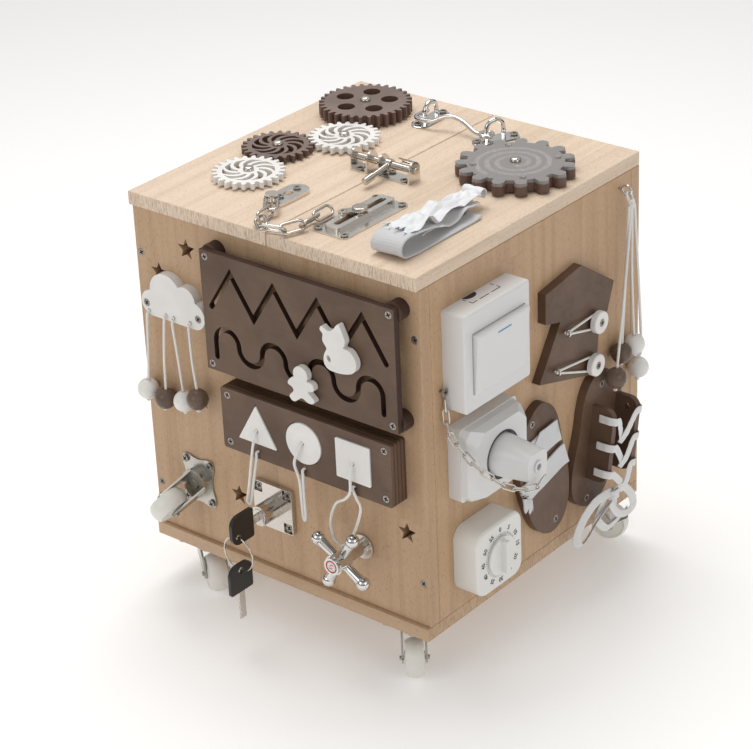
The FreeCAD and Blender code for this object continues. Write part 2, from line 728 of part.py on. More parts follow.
def figure_on_pin(figure, at, keeper_radius):
    """A white figure in front of the maze board, its pin and the retaining disc behind."""
    pin = disc(*at, size("maze_standoff") - 2.6, size("slot_width") / 2 - 0.5,
               size("maze_board") + FIGURE_GAP + 3)
    keeper = disc(*at, size("maze_standoff") - 3, keeper_radius, 2.2)
    return figure.fuse([pin, keeper]).removeSplitter()


CAT_PIN = (size("zigzag_start") + 6 * size("zigzag_pitch"), size("zigzag_low"))
CHILD_TURN = -50.0
CHILD_CENTRE = (size("wave_start") + 3.5 * size("wave_pitch"), size("wave_middle"))
CHILD_PIN = polar(CHILD_CENTRE, size("wave_pitch") / 2, CHILD_TURN)
CAT_OUTLINE = [(68, 268.8), (70, 270.6), (73.5, 268.6), (77.6, 268.4), (82, 271.5), (87, 276.3),
               (88.8, 273.5), (90.6, 269.5), (92.6, 264.5), (91.9, 259.8), (91, 257.3), (94.5, 256.6),
               (99.5, 254), (103, 247.8), (102.2, 241.5), (99, 237.6), (93, 235.2), (87, 234),
               (80, 233.8), (74.5, 234.6), (70.8, 238.2), (70.2, 243), (72, 248.6), (73.6, 252.6),
               (71.2, 256), (69.9, 260), (70.2, 264.5)]
CHILD_HEAD = (44.5, 220.3)


def child_outline():
    """Round head, stubby arms and legs, all one flat shape."""
    u, v = CHILD_HEAD
    body = [(u - 3.5, v - 4), (u - 12, v - 7), (u - 13.5, v - 11), (u - 9.5, v - 13), (u - 8, v - 15.5),
            (u - 12.5, v - 22), (u - 9, v - 25.5), (u, v - 20.5), (u + 9, v - 23), (u + 13.5, v - 20),
            (u + 7, v - 13), (u + 12.5, v - 11), (u + 13, v - 6.5), (u + 4, v - 4.5)]
    trunk = slab(FIGURE_THICKNESS, smooth(body), base=MAZE_FRONT + FIGURE_GAP)
    head = disc(u, v, MAZE_FRONT + FIGURE_GAP, 7.4, FIGURE_THICKNESS)
    return trunk.fuse(head).removeSplitter()


def build_maze():
    half = size("slot_width") / 2
    edges = ("Sizes.maze_left", "Sizes.maze_bottom", "Sizes.maze_right", "Sizes.maze_top")
    openings = [band(zigzag_points(), half), wave_slot(half)] + [screw_hole(*c) for c in MAZE_CORNERS]
    board = doc.addObject("PartDesign::Body", "maze_front")
    outline = sketch_on(board, "maze_outline", openings)
    bound_rectangle(outline, *edges)
    pad(board, outline, "Sizes.maze_board")
    heads = sketch_on(board, "maze_heads", [head_hole(*c) for c in MAZE_CORNERS], "Sizes.maze_board")
    pocket(board, heads, "Sizes.screw_head_depth + Sizes.screw_clearance")
    bind(board, Placement__Base__z="Sizes.maze_standoff")
    spacers = []
    for index, (u, v) in enumerate(MAZE_CORNERS):
        rim = [circle(u, v, 8.5), screw_hole(u, v)]
        spacers.append(outline_body(f"maze_spacer_{index + 1}", rim, "Sizes.maze_standoff"))
    whole = doc.addObject("Part::Compound", "maze_board")
    whole.Links = [board, *spacers]
    keep(place(whole, "front"), "maze_board")

    tail_gap = smooth([(74.5, 246.5), (76.5, 245.5), (77, 241.5), (75, 241.5)])
    cat = slab(FIGURE_THICKNESS, smooth(CAT_OUTLINE), tail_gap, base=MAZE_FRONT + FIGURE_GAP)
    feature("maze_cat", figure_on_pin(cat, CAT_PIN, 4.5), "front")
    feature("maze_child", figure_on_pin(child_outline(), CHILD_PIN, 4.0), "front")


# ---------------------------------------------------------------- cloud and its beads
CLOUD_LOBES = ((-129, 230.5, 11.5), (-112.5, 243, 17.5), (-91, 243, 11.5), (-81.5, 231, 12))
CLOUD_HOLES = ((-132.5, 223), (-113.3, 223.5), (-104.7, 223.5), (-86, 224))
CLOUD_BEADS = ((-140, 148.2, 10), (-120.4, 144.8, 10), (-98.6, 148.6, 10), (-79, 158, 14))


def pendant(top, bead):
    """A cord from a hole down to a wooden bead, as two solids."""
    radius = size("bead_radius")
    end = Vector(*bead)
    reach = Vector(*top) - end
    reach.normalize()
    start = end + reach * (radius + 0.3)
    middle = (Vector(*top) + start) * 0.5 + Vector(0, 0, 1.0)
    cord = rod_along([tuple(top), tuple(middle), tuple(start)], size("cord_radius"))
    ball = Part.makeSphere(radius, end)
    return [cord, ball]


def build_cloud():
    lobes = []
    for index, (u, v, radius) in enumerate(CLOUD_LOBES):
        lobe = doc.addObject("Part::Cylinder", f"cloud_lobe_{index + 1}")
        bind(lobe, Height="Sizes.painted_board")
        lobe.Radius = radius
        lobe.Placement.Base = Vector(u, v, 0)
        lobes.append(lobe)
    left, right = CLOUD_LOBES[0][0], CLOUD_LOBES[-1][0]
    base = doc.addObject("Part::Box", "cloud_base")
    base.Length = right - left
    base.Width = 20
    bind(base, Height="Sizes.painted_board")
    base.Placement.Base = Vector(left, 219, 0)
    whole = doc.addObject("Part::MultiFuse", "cloud_blank")
    whole.Shapes = [*lobes, base]
    whole.Refine = True
    holes_tool = doc.addObject("Part::Feature", "cloud_holes")
    cutters = [disc(*hole, -1, size("cord_radius") + 0.4, PAINTED + 2) for hole in CLOUD_HOLES]
    for u, v in CLOUD_SCREWS:
        cutters.append(disc(u, v, -1, size("shank_radius") + size("screw_clearance"), PAINTED + 2))
        cutters.append(head_room(u, v, PAINTED))
    holes_tool.Shape = Part.makeCompound(cutters)
    cut = doc.addObject("Part::Cut", "cloud_board")
    cut.Base = whole
    cut.Tool = holes_tool
    keep(place(cut, "front"), "cloud_board")

    solids = []
    for hole, bead in zip(CLOUD_HOLES, CLOUD_BEADS):
        solids += pendant((*hole, PAINTED + 1.8), bead)
    feature("cloud_pendants", Part.makeCompound(solids), "front")


# ---------------------------------------------------------------- shape puzzle
TRIANGLE = ((-9.8, 174.5), (-30.3, 139.7), (10.9, 139.7))
CIRCLE_SHAPE = (40, 155.5, 18.3)
SQUARE_SHAPE = (74.3, 137.8, 109.4, 172.8)
CORD_HOLES = ((-10.4, 132), (39.4, 132), (91.4, 132.3))
SHAPE_HOLES = ((-9.9, 151.7), (39.2, 155.6), (91.8, 154))


def shrink(corners, gap):
    """A triangle moved in from its pocket by a gap on every side."""
    centre = [sum(c[k] for c in corners) / 3 for k in (0, 1)]
    inner = 35.5 / 3
    ratio = (inner - gap) / inner
    return [tuple(centre[k] + (c[k] - centre[k]) * ratio for k in (0, 1)) for c in corners]


def build_puzzle():
    left, bottom = size("puzzle_left"), size("puzzle_bottom")
    right, top = size("puzzle_right"), size("puzzle_top")
    gap = size("shape_clearance")
    layer = size("puzzle_layer")
    puzzle_rim = bottom + 1
    corner = 2.0
    rim = rounded_rectangle(left, bottom, right, top, corner)
    grown = shrink(TRIANGLE, -gap)
    u, v, radius = CIRCLE_SHAPE
    pockets = [polygon(grown), circle(u, v, radius + gap),
               rounded_rectangle(SQUARE_SHAPE[0] - gap, SQUARE_SHAPE[1] - gap,
                                 SQUARE_SHAPE[2] + gap, SQUARE_SHAPE[3] + gap, 1.2)]
    screws = [screw_hole(*c) for c in PUZZLE_CORNERS]
    cords = [circle(*hole, 2.0) for hole in CORD_HOLES]
    layers = []
    names = ("puzzle_back", "puzzle_middle", "puzzle_face")
    for index, name in enumerate(names):
        openings = screws if index == 0 else screws + pockets + cords
        sunk = PUZZLE_CORNERS if index == 2 else ()
        body = outline_body(name, [rim, *openings], "Sizes.puzzle_layer", sunk)
        bind(body, Placement__Base__z=f"{index} * Sizes.puzzle_layer")
        layers.append(body)
    whole = doc.addObject("Part::Compound", "puzzle_board")
    whole.Links = layers
    keep(place(whole, "front"), "puzzle_board")

    shapes = {
        "triangle_piece": polygon(list(TRIANGLE)),
        "circle_piece": circle(*CIRCLE_SHAPE),
        "square_piece": rounded_rectangle(*SQUARE_SHAPE, 1),
    }
    # Where each cord's loop hangs to, and how far out from the panel it is there.
    bottoms = ((-22, 88, 22), (36, 86, 22), (77.5, 83, 13))
    out = PUZZLE_FRONT + 2.6
    for (label, outline), hole, low_hole, low in zip(shapes.items(), SHAPE_HOLES, CORD_HOLES, bottoms):
        body = slab(2 * layer + 1 - 0.4, outline, circle(*hole, 1.6), base=layer + 0.4)
        path = [(*hole, out), (hole[0] - 2, hole[1] - 10, out + 2), (low_hole[0] - 5, puzzle_rim, out + 1),
                (low[0] - 3, low[1] + 8, low[2] + 1), low, (low[0] + 4, low[1] + 9, low[2]),
                (low_hole[0] + 1, puzzle_rim, out), (*low_hole, out - 0.6)]
        feature(label, Part.makeCompound([body, rod_along(path, size("cord_radius"))]), "front")


# ---------------------------------------------------------------- lock, keys and tap
def upright(shape, across=0.0):
    """Turn a flat shape so its X runs up the face, its Y out of it and its thickness across."""
    turned = shape.copy()
    turned.rotate(Vector(0, 0, 0), Vector(1, 1, 1), 120)
    turned.translate(Vector(across, 0, 0))
    return turned


def key(hole, low_blade, high_blade):
    """A flat key: a moulded bow with a ring hole, and a notched blade, drawn along its Y."""
    bow = slab(3.2, rounded_rectangle(-13.5, 31, 13.5, 57.5, 9), circle(*hole, 3), base=-1.6)
    heel = slab(3.2, rounded_rectangle(-13.5, 31, 13.5, 42, 2), base=-1.6)
    teeth = [(-3.6, low_blade), (3.6, low_blade), (3.6, high_blade), (-3.6, high_blade),
             (-3.6, low_blade + 14), (-2.2, low_blade + 12.5), (-3.6, low_blade + 11),
             (-3.6, low_blade + 8), (-1.8, low_blade + 6), (-3.6, low_blade + 4)]
    blade = slab(1.8, polygon(teeth), base=-0.9)
    return bow.fuse([heel, blade]).removeSplitter()


RING_RADIUS = 15.5
KEY_HOLE = (-7, 50)
SPARE_HOLE = (0, 51)


def build_lock():
    u, v = size("lock_x"), size("lock_height")
    half = size("lock_plate") / 2
    corners = [(u + a * LOCK_CORNER, v + b * LOCK_CORNER) for a in (-1, 1) for b in (-1, 1)]
    back = slab(2, rounded_rectangle(u - half, v - half, u + half, v + half, 2),
                *[screw_hole(*c) for c in corners])
    windows = [rounded_rectangle(a - 4.5, b - 4.5, a + 4.5, b + 4.5, 1) for a, b in corners]
    case = slab(3, rounded_rectangle(u - half, v - half, u + half, v + half, 2), *windows, base=2)
    barrel = disc(u, v, 5, size("lock_barrel_radius"), 18)
    bore = disc(u, v, 5.8, size("lock_core_radius") + 0.08, 30)
    whole = back.fuse([case, barrel]).cut(bore).removeSplitter()
    feature("lock_case", whole, "front")

    core = disc(0, 0, 6, size("lock_core_radius"), 17.5)
    core = core.cut(Part.makeBox(2.2, 8, 30, Vector(-1.1, -4, 7.5)))
    shape = Part.makeCompound([core, upright(key(KEY_HOLE, 8, 31.5))])
    lock = feature("lock_key", shape)
    lock.Placement = face_placement("front", u, v)

    ring = Part.makeTorus(RING_RADIUS, 0.7, Vector(0, KEY_HOLE[0] - RING_RADIUS, KEY_HOLE[1]))
    spare = key(SPARE_HOLE, 5, 31.5)
    spare.translate(Vector(-SPARE_HOLE[0], -SPARE_HOLE[1], 0))
    spare.rotate(Vector(0, 0, 0), Vector(0, 0, 1), -90)
    hung = upright(spare)
    hung.translate(Vector(0, KEY_HOLE[0] - 2 * RING_RADIUS, KEY_HOLE[1]))
    chain_set = feature("key_ring_set", Part.makeCompound([ring, hung]))
    chain_set.Placement = face_placement("front", u, v)


def build_faucet():
    u, v = size("faucet_x"), size("faucet_height")
    flange = disc(0, 0, 0, 11, 2.5)
    stem = disc(0, 0, 2.5, 6, 19.5)
    tail = disc(0, 0, -22, 4, 22)
    spindle = disc(0, 0, 22, 3, 15)
    nut_rim = polygon([polar((0, 0), 8, 60 * k) for k in range(6)])
    nut = slab(4, nut_rim, base=-16.2)
    body = feature("faucet_stem", flange.fuse([stem, tail, spindle, nut]).removeSplitter())
    body.Placement = face_placement("front", u, v)

    hub = Part.makeCone(7.5, 8.5, 15.5, Vector(0, 0, 22.5))
    arms = []
    for turn in (59, 149, 239, 329):
        reach = size("faucet_arm")
        tip = Vector(*polar((0, 0), reach, turn), 29)
        arms.append(Part.makeCone(3.2, 4.6, reach, Vector(0, 0, 29), Vector(tip.x, tip.y, 0)))
        arms.append(Part.makeSphere(5.8, tip))
    bore = disc(0, 0, 20, 3.08, 17.2)
    handle = hub.fuse(arms).cut(bore).removeSplitter()
    cap = disc(0, 0, 38, 7.5, 3).cut(Part.makeTorus(5, 0.7, Vector(0, 0, 41)))
    turning = feature("faucet_handle", Part.makeCompound([handle, cap]))
    turning.Placement = face_placement("front", u, v)


# ---------------------------------------------------------------- household fittings
def build_switch():
    y, v = size("switch_y"), size("switch_height")
    half = size("switch_side") / 2
    rocker_y, rocker_v = 1.5, -2.0
    wide, tall = size("rocker_width"), size("rocker_height")
    seam = 14.0
    front = 22.0
    pivot_w = 19.0
    tray = slab(seam, rounded_rectangle(-half, -half, half, half, 3))
    tray = tray.cut(slab(seam, rounded_rectangle(3 - half, 3 - half, half - 3, half - 3, 2), base=2.5))
    cover = slab(front - seam, rounded_rectangle(-half, -half, half, half, 3), base=seam)
    rim = [e for e in cover.Edges if abs(e.CenterOfMass.z - front) < 1e-4]
    cover = cover.makeFillet(2, rim)
    opening = Part.makeBox(wide + 1.5, tall + 1.5, 20,
                           Vector(rocker_y - wide / 2 - 0.75, rocker_v - tall / 2 - 0.75, 10))
    sockets = Part.makeCylinder(2.1, wide + 7, Vector(rocker_y - wide / 2 - 3.5, rocker_v, pivot_w),
                                Vector(1, 0, 0))
    cover = cover.cut([opening, sockets])
    housing = feature("switch_housing", Part.makeCompound([tray, cover]))
    housing.Placement = face_placement("right", y, v)

    plate = Part.makeBox(wide, tall, 10, Vector(-wide / 2, -tall / 2, -3))
    top = [e for e in plate.Edges if abs(e.CenterOfMass.z - 7) < 1e-4]
    plate = plate.makeFillet(1.2, top)
    pins = Part.makeCylinder(2, wide + 6, Vector(-wide / 2 - 3, 0, 0), Vector(1, 0, 0))
    rocker = plate.fuse(pins).removeSplitter()
    rocker.rotate(Vector(0, 0, 0), Vector(1, 0, 0), size("rocker_tilt"))
    obj = feature("switch_rocker", rocker)
    obj.Placement = face_placement("right", y + rocker_y, v + rocker_v, pivot_w)


def octagon(half_u, half_v, cut):
    corners = [(half_u, half_v - cut), (half_u - cut, half_v), (cut - half_u, half_v),
               (-half_u, half_v - cut), (-half_u, cut - half_v), (cut - half_u, -half_v),
               (half_u - cut, -half_v), (half_u, cut - half_v)]
    return polygon(corners)


def wire_at(outline, height):
    wire = Part.Wire(Part.sortEdges([g.toShape() for g in outline])[0])
    wire.translate(Vector(0, 0, height))
    return wire


def squarish(radius_u, radius_v, power):
    """A closed curve between a circle and a rectangle."""
    points = []
    for k in range(16):
        turn = math.radians(22.5 * k)
        c, s = math.cos(turn), math.sin(turn)
        scale = (abs(c) ** power + abs(s) ** power) ** (-1 / power)
        points.append((radius_u * scale * c, radius_v * scale * s))
    return smooth(points)


RECESS_FLOOR = 16.0
PIN_SPREAD = 9.5


def build_socket():
    y, v = size("socket_y"), size("socket_height")
    tray = slab(12, rounded_rectangle(-37.5, -33, 37.5, 33, 4))
    cover = Part.makeLoft([wire_at(octagon(36.5, 32, 4), 12), wire_at(octagon(36, 31.5, 5), 18),
                           wire_at(octagon(32, 29, 10), 26)], True, True)
    recess = disc(0, 0, RECESS_FLOOR, 20, 20)
    pins = [disc(side * PIN_SPREAD, 0, 3, 2.7, 20) for side in (-1, 1)]
    cover = cover.cut([recess, *pins])
    tray = tray.cut(pins)
    housing = feature("socket_housing", Part.makeCompound([tray, cover]))
    housing.Placement = face_placement("right", y, v)

    end = RECESS_FLOOR + size("plug_length")
    levels = ((18, 18, 2.0, RECESS_FLOOR + 0.3), (17.6, 17.6, 2.0, 30), (14.5, 14, 3.0, 46),
              (12.6, 12, 4.0, end))
    shell = Part.makeLoft([wire_at(squarish(a, b, p), w) for a, b, p, w in levels], True, False)
    boss = disc(0, 0, end - 1, 5, 2.5)
    hole = disc(0, 0, end - 8, 2.8, 20)
    prongs = [disc(side * PIN_SPREAD, 0, 4.3, 2.4, 13) for side in (-1, 1)]
    plug = shell.fuse([boss, *prongs]).cut(hole).removeSplitter()
    obj = feature("plug", plug)
    obj.Placement = face_placement("right", y, v)


PLUG_LINKS = 13


def build_plug_chain():
    """Fine chain from below its screw down to the plug's outer end."""
    sag = [(-124, 212.5, 3.8), (-124, 203, 4.4), (-124.5, 189.5, 6), (-124.4, 179, 11), (-121, 169, 18),
           (-121.5, 160.5, 30), (-115, 150.5, 41), (-109.5, 143.5, 50), (-98.5, 138, 58), (-88, 137, 64),
           (-80, 144, 66)]
    link = oval_link(14, 6.4, 0.7)
    rolls = [45 if k % 2 else -45 for k in range(PLUG_LINKS)]
    feature("plug_chain", Part.makeCompound(chain(spaced(sag, PLUG_LINKS), link, rolls)), "right")


def build_timer():
    y, v = size("timer_y"), size("timer_height")
    half = size("timer_side") / 2

    def rim(inset):
        return rounded_rectangle(inset - half, inset - half, half - inset, half - inset, 12 - inset)

    back = slab(12, rim(0)).cut(slab(12, rim(2.5), base=2.5))
    front = slab(13, rim(0), base=12)
    edge = [e for e in front.Edges if abs(e.CenterOfMass.z - 25) < 1e-4]
    front = front.makeFillet(3, edge).cut([slab(9.5, rim(2.5), base=12), disc(0, 0, 10, 2.1, 30)])
    housing = feature("timer_housing", Part.makeCompound([back, front]))
    housing.Placement = face_placement("right", y, v)

    dial = disc(0, 0, 25.3, 17, 2.5)
    bar = slab(6.7, rounded_rectangle(-2.6, -15.5, 2.6, 15.5, 2.5), base=27.3)
    top = [e for e in bar.Edges if abs(e.CenterOfMass.z - 34) < 1e-4]
    shaft = disc(0, 0, 16, 2.0, 10)
    keeper = disc(0, 0, 17, 5, 1.6)
    knob = dial.fuse([bar.makeFillet(1, top), shaft, keeper]).removeSplitter()
    obj = feature("timer_dial", knob)
    obj.Placement = face_placement("right", y, v)


# ---------------------------------------------------------------- house, sole boards, laces
HOUSE = [(55, 259.5), (101, 228), (92, 204), (80, 196), (74.5, 151.5), (-5.2, 174.8),
         (24.5, 220), (4.2, 225.6), (4.6, 252)]
HOUSE_EYES = ((28.8, 209.3), (14.5, 179.8))
ELASTIC_W = 9.6


def screw_eye(u, v, start, ring_w, ring, wire=0.9):
    """A closed screw eye standing on a face, its ring seen from along U."""
    shank = disc(u, v, start, 1.2, ring_w - ring - start)
    loop = Part.makeTorus(ring, wire, Vector(u, v, ring_w), Vector(1, 0, 0))
    return shank.fuse(loop).removeSplitter()


def build_house():
    eyes = [circle(*eye, 1.3) for eye in HOUSE_EYES]
    openings = [screw_hole(*peg) for peg in PEGS] + eyes
    house = outline_body("house_board", [polygon(HOUSE), *openings], "Sizes.painted_board")
    keep(place(house, "right"), "house_board")

    pegs = []
    for u, v in PEGS:
        neck = disc(u, v, PAINTED, 5, 3.5)
        head = disc(u, v, PAINTED + 3, 9.8, PEG_TOP - PAINTED - 3)
        edge = [e for e in head.Edges if abs(e.CenterOfMass.z - PEG_TOP) < 1e-4]
        head = head.makeFillet(1.4, edge)
        bore = [disc(u, v, 0, size("shank_radius") + size("screw_clearance"), 30),
                head_room(u, v, PEG_TOP)]
        pegs.append(neck.fuse(head).cut(bore).removeSplitter())
    feature("elastic_pegs", Part.makeCompound(pegs), "right")


INSOLE = [(0.9, 156.5), (13.8, 147), (20.8, 133.2), (25, 115), (33, 86.5), (34.7, 56.8), (28, 38),
          (13.8, 29.4), (0.5, 32), (-12.5, 43), (-22.5, 61.6), (-31, 86.7), (-34, 103), (-31.5, 121),
          (-26, 140), (-14.1, 153)]
SHOE = [(82, 149.5), (67, 145), (57.5, 130), (52, 108), (44.7, 85.9), (39.5, 65.8), (41.1, 47),
        (55, 32.3), (75.5, 29), (92, 42), (101, 65), (109, 95), (113, 122), (103, 142)]
FLAPS = ((67, 91), (102, 88))
FLAP_LEAN = 10.0
FLAP_TOP = 30.0
LACE_ROWS = (-24, 0, 24)


def build_soles():
    insole = slab(PAINTED, smooth(INSOLE), *[screw_hole(*s) for s in INSOLE_SCREWS])
    heads = [head_room(*s, PAINTED) for s in INSOLE_SCREWS]
    insole = insole.cut(heads)
    shoe = slab(PAINTED, smooth(SHOE), *[screw_hole(*s) for s in SHOE_SCREWS])
    heads = [head_room(*s, PAINTED) for s in SHOE_SCREWS]
    shoe = shoe.cut(heads)
    flaps = []
    for y, v in FLAPS:
        plate = slab(6, rounded_rectangle(-33, 2, 33, FLAP_TOP, 9),
                     *[circle(row, 20, 3) for row in LACE_ROWS], base=-3)
        plate = upright(plate)
        plate.rotate(Vector(0, 0, 0), Vector(0, 0, 1), -FLAP_LEAN)
        plate.translate(Vector(y, v, 0))
        flaps.append(plate)
    shoe = shoe.fuse(flaps).removeSplitter()
    feature("sole_boards", Part.makeCompound([insole, shoe]), "right")


def on_flap(side, row, aside, w):
    """A point beside a flap: along it by row, to its right by aside."""
    y, v = FLAPS[side]
    lean = math.radians(FLAP_LEAN)
    return (y + aside * math.cos(lean) + row * math.sin(lean),
            v - aside * math.sin(lean) + row * math.cos(lean), w)


def build_laces():
    solids = []
    lace = 1.5
    for row in LACE_ROWS:
        middle = (FLAPS[0][0] + FLAPS[1][0]) / 2
        low = on_flap(0, row, 0, 0)[1] - 13
        path = [on_flap(0, row, -6, 19), on_flap(0, row, -6, 28), on_flap(0, row - 1, -1, 33.4),
                on_flap(0, row - 3, 7, 31), (middle, low, 30), on_flap(1, row - 3, -7, 31),
                on_flap(1, row - 1, 1, 33.4), on_flap(1, row, 6, 28), on_flap(1, row, 6, 19)]
        solids.append(rod_along(path, lace))
    loops = (
        [(80, 46, 30), (66, 34, 26), (48, 24, 21), (30, 14, 17), (23, 8, 15), (30, 2, 16), (42, 8, 19),
         (58, 22, 23), (72, 38, 26)],
        [(86, 45, 26), (100, 34, 24), (114, 14, 20), (117, 4, 17), (106, 4, 18), (92, 18, 21), (82, 34, 25)],
        [(76, 44, 21), (70, 30, 16), (68, 16, 14), (74, 4, 14)],
        [(86, 46, 21), (96, 30, 16), (98, 12, 14), (90, 3, 14)],
    )
    solids += [rod_along(path, lace) for path in loops]
    for eye, peg in zip(HOUSE_EYES, PEGS):
        heading = math.degrees(math.atan2(peg[1] - eye[1], peg[0] - eye[0]))
        ends = [polar(eye, 6, heading + 14 * side) for side in (-1, 1)]
        around = [polar(peg, 6.8, heading + turn) for turn in (-90, -45, 0, 45, 90)]
        path = [(*ends[0], 11.6), *[(*spot, ELASTIC_W) for spot in around], (*ends[1], 11.6)]
        solids.append(rod_along(path, 0.8))
    feature("laces_and_elastics", Part.makeCompound(solids), "right")


# ---------------------------------------------------------------- straps and beads
def build_straps():
    lower = [(-32, 127.2), (14.8, 134.1), (21.2, 113.8), (-26, 106)]
    upper = [(-34.6, 91.4), (23.5, 108.8), (31, 88.9), (-26.9, 75)]
    velcro = [slab(1.6, polygon(lower), base=8.3), slab(1.6, polygon(upper), base=8.3)]
    right = face_placement("right")
    for strip in velcro:
        strip.Placement = right

    heading = 90
    side_view = [(0, 1.3), (-93, 1.3), (-98, 4), (-100, 9), (-97, 14.5), (-89, 16.6), (-50, 13),
                 (0, 9), (20, 9.5)]
    webbing = slab(size("strap_width"), band(side_view, 0.9))
    webbing.rotate(Vector(0, 0, 0), Vector(1, 0, 0), 90)
    webbing.rotate(Vector(0, 0, 0), Vector(0, 0, 1), heading)
    start = polar((STRAP_SCREW[0] + 0.9, STRAP_SCREW[1] + 5.7), size("strap_width") / 2, heading + 90)
    webbing.translate(Vector(*start, 0))
    stand = face_placement("top")
    webbing.translate(stand.Base)
    hole = disc(*STRAP_SCREW, -1, size("shank_radius") + 0.3, 3.2)
    hole.translate(stand.Base)
    feature("fabric_straps", Part.makeCompound([*velcro, webbing.cut(hole)]))


# Each bead of the bunch, and the point its cord passes on the way down.
BUNCH = (((109.7, 157.2, 10), (112.5, 220, 11.5)), ((89.5, 144.5, 18.5), (106, 215, 15)),
         ((128.9, 157.8, 10), (124, 225, 10.5)), ((135.2, 133, 10), (141.5, 160, 8.5)))


def build_bunch():
    u, v = BEAD_EYE
    cords, beads = [], []
    radius = size("bead_radius")
    for index, (bead, way) in enumerate(BUNCH):
        start = (u + 2.6 * (index - 1.5), v - 12, 12 + (index % 2))
        lift = Vector(*way) - Vector(*bead)
        lift.normalize()
        end = Vector(*bead) + lift * (radius + 0.3)
        cords.append(rod_along([start, way, tuple(end)], size("cord_radius")))
        beads.append(Part.makeSphere(radius, Vector(*bead)))
    knot = Part.makeSphere(4.2, Vector(u, v - 11, 12))
    loop = [(u - 2, v - 9, 11.5), (u - 2.9, v - 4, 10), (u, v - 1.2, 8.2), (u + 2.9, v - 4, 10),
            (u + 2, v - 9, 11.5)]
    cords.append(rod_along(loop, size("cord_radius")))
    bunch = Part.makeCompound([knot.fuse(cords).removeSplitter(), *beads])
    feature("bead_bunch", bunch, "right")


def cabin_eye(centre, turn, legs):
    """An oval plate with an arch of round wire over it."""
    plate = slab(1.5, [*rounded_rectangle(-21.5, -8.5, 21.5, 8.5, 8.4)],
                 screw_hole(17.5, 0), screw_hole(-17.5, 0))
    plate.rotate(Vector(0, 0, 0), Vector(0, 0, 1), 90 + turn)
    plate.translate(Vector(*centre, 0))
    front, back = legs
    middle = ((front[0] + back[0]) / 2, (front[1] + back[1]) / 2)
    top = Part.Arc(Vector(*front, 10), Vector(*middle, 18), Vector(*back, 10)).toShape()
    path = [Part.makeLine(Vector(*front, 0.6), Vector(*front, 10)), top,
            Part.makeLine(Vector(*back, 10), Vector(*back, 0.6))]
    wire = Part.Wire(path)
    ring = Part.Wire(Part.makeCircle(size("hook_wire"), Vector(*front, 0.6), Vector(0, 0, 1)))
    arch = wire.makePipeShell([ring], True, True)
    return plate.fuse(arch).removeSplitter()


LEFT_LEGS = ((-36, 99), (-36, 115))
RIGHT_LEGS = ((31.4, 96.9), (38.6, 111.1))


def build_eyes():
    solids = []
    for eye in HOUSE_EYES:
        solids.append(screw_eye(*eye, 0.6, 12.2, 2.6))
    solids.append(screw_eye(*BEAD_EYE, -10.5, 7.5, 4.2, 1.1))
    right = face_placement("right")
    for solid in solids:
        solid.Placement = right.multiply(solid.Placement)
    top = face_placement("top")
    for centre, legs in ((LEFT_EYE, LEFT_LEGS), (RIGHT_EYE, RIGHT_LEGS)):
        eye = cabin_eye(centre, EYE_TURN[centre], legs)
        eye.Placement = top
        solids.append(eye)
    feature("metal_eyes", Part.makeCompound(solids))


# ---------------------------------------------------------------- gears and spiral disc
PRESSURE = math.radians(20)
BACKLASH = 0.25


def involute(angle):
    return math.tan(angle) - angle


def gear_outline(teeth):
    """A closed outline of involute teeth, the first tooth centred on +X."""
    module = size("gear_module")
    pitch = module * teeth / 2
    base = pitch * math.cos(PRESSURE)
    tip = pitch + 2.1
    root = pitch - 2.6
    half_tooth = math.pi / (2 * teeth) - BACKLASH / (4 * pitch)
    radii = [base + (tip - base) * k / 4 for k in range(5)]
    spread = [half_tooth + involute(PRESSURE) - involute(math.acos(base / r)) for r in radii]
    rim = []
    step = 2 * math.pi / teeth

    def at(radius, turn):
        return point(radius * math.cos(turn), radius * math.sin(turn))

    for index in range(teeth):
        middle = index * step
        rise = [at(r, middle - s) for r, s in zip(radii, spread)]
        fall = [at(r, middle + s) for r, s in reversed(list(zip(radii, spread)))]
        foot = at(root, middle - spread[0])
        heel = at(root, middle + spread[0])
        flanks = []
        for points in (rise, fall):
            curve = Part.BSplineCurve()
            curve.interpolate(points)
            flanks.append(curve)
        following = at(root, middle + step - spread[0])
        rim += [Part.LineSegment(foot, rise[0]), flanks[0],
                Part.Arc(rise[-1], at(tip, middle), fall[0]), flanks[1],
                Part.LineSegment(fall[-1], heel),
                Part.Arc(heel, at(root, middle + step / 2), following)]
    return rim


def swirl_window(inner, outer, start, wide_in, wide_out, twist):
    """An opening between two curved spokes."""
    sides = []
    for edge_in, edge_out in ((start, start + twist), (start + wide_in, start + wide_out + twist)):
        middle = polar((0, 0), (inner + outer) / 2, edge_in + (edge_out - edge_in) * 0.38)
        sides.append(Part.Arc(point(*polar((0, 0), inner, edge_in)), point(*middle),
                              point(*polar((0, 0), outer, edge_out))))
    low = arc((0, 0), inner, start, start + wide_in)
    high = arc((0, 0), outer, start + twist, start + wide_out + twist)
    return [low, high, *sides]


def spoked_gear():
    openings = [circle(0, 0, GEAR_BOLT + 0.1)]
    openings += [swirl_window(8.5, 21.8, 36 * k, 17, 26, -46) for k in range(10)]
    return slab(size("gear_thickness"), gear_outline(int(size("gear_teeth"))), *openings,
                base=size("gear_lift"))


def large_gear():
    openings = [circle(0, 0, GEAR_BOLT + 0.1)]
    openings += [circle(*polar((0, 0), 21, 72 * k + 20), 7.5) for k in range(5)]
    return slab(size("large_gear_thickness"), gear_outline(int(size("large_gear_teeth"))), *openings,
                base=size("gear_lift"))


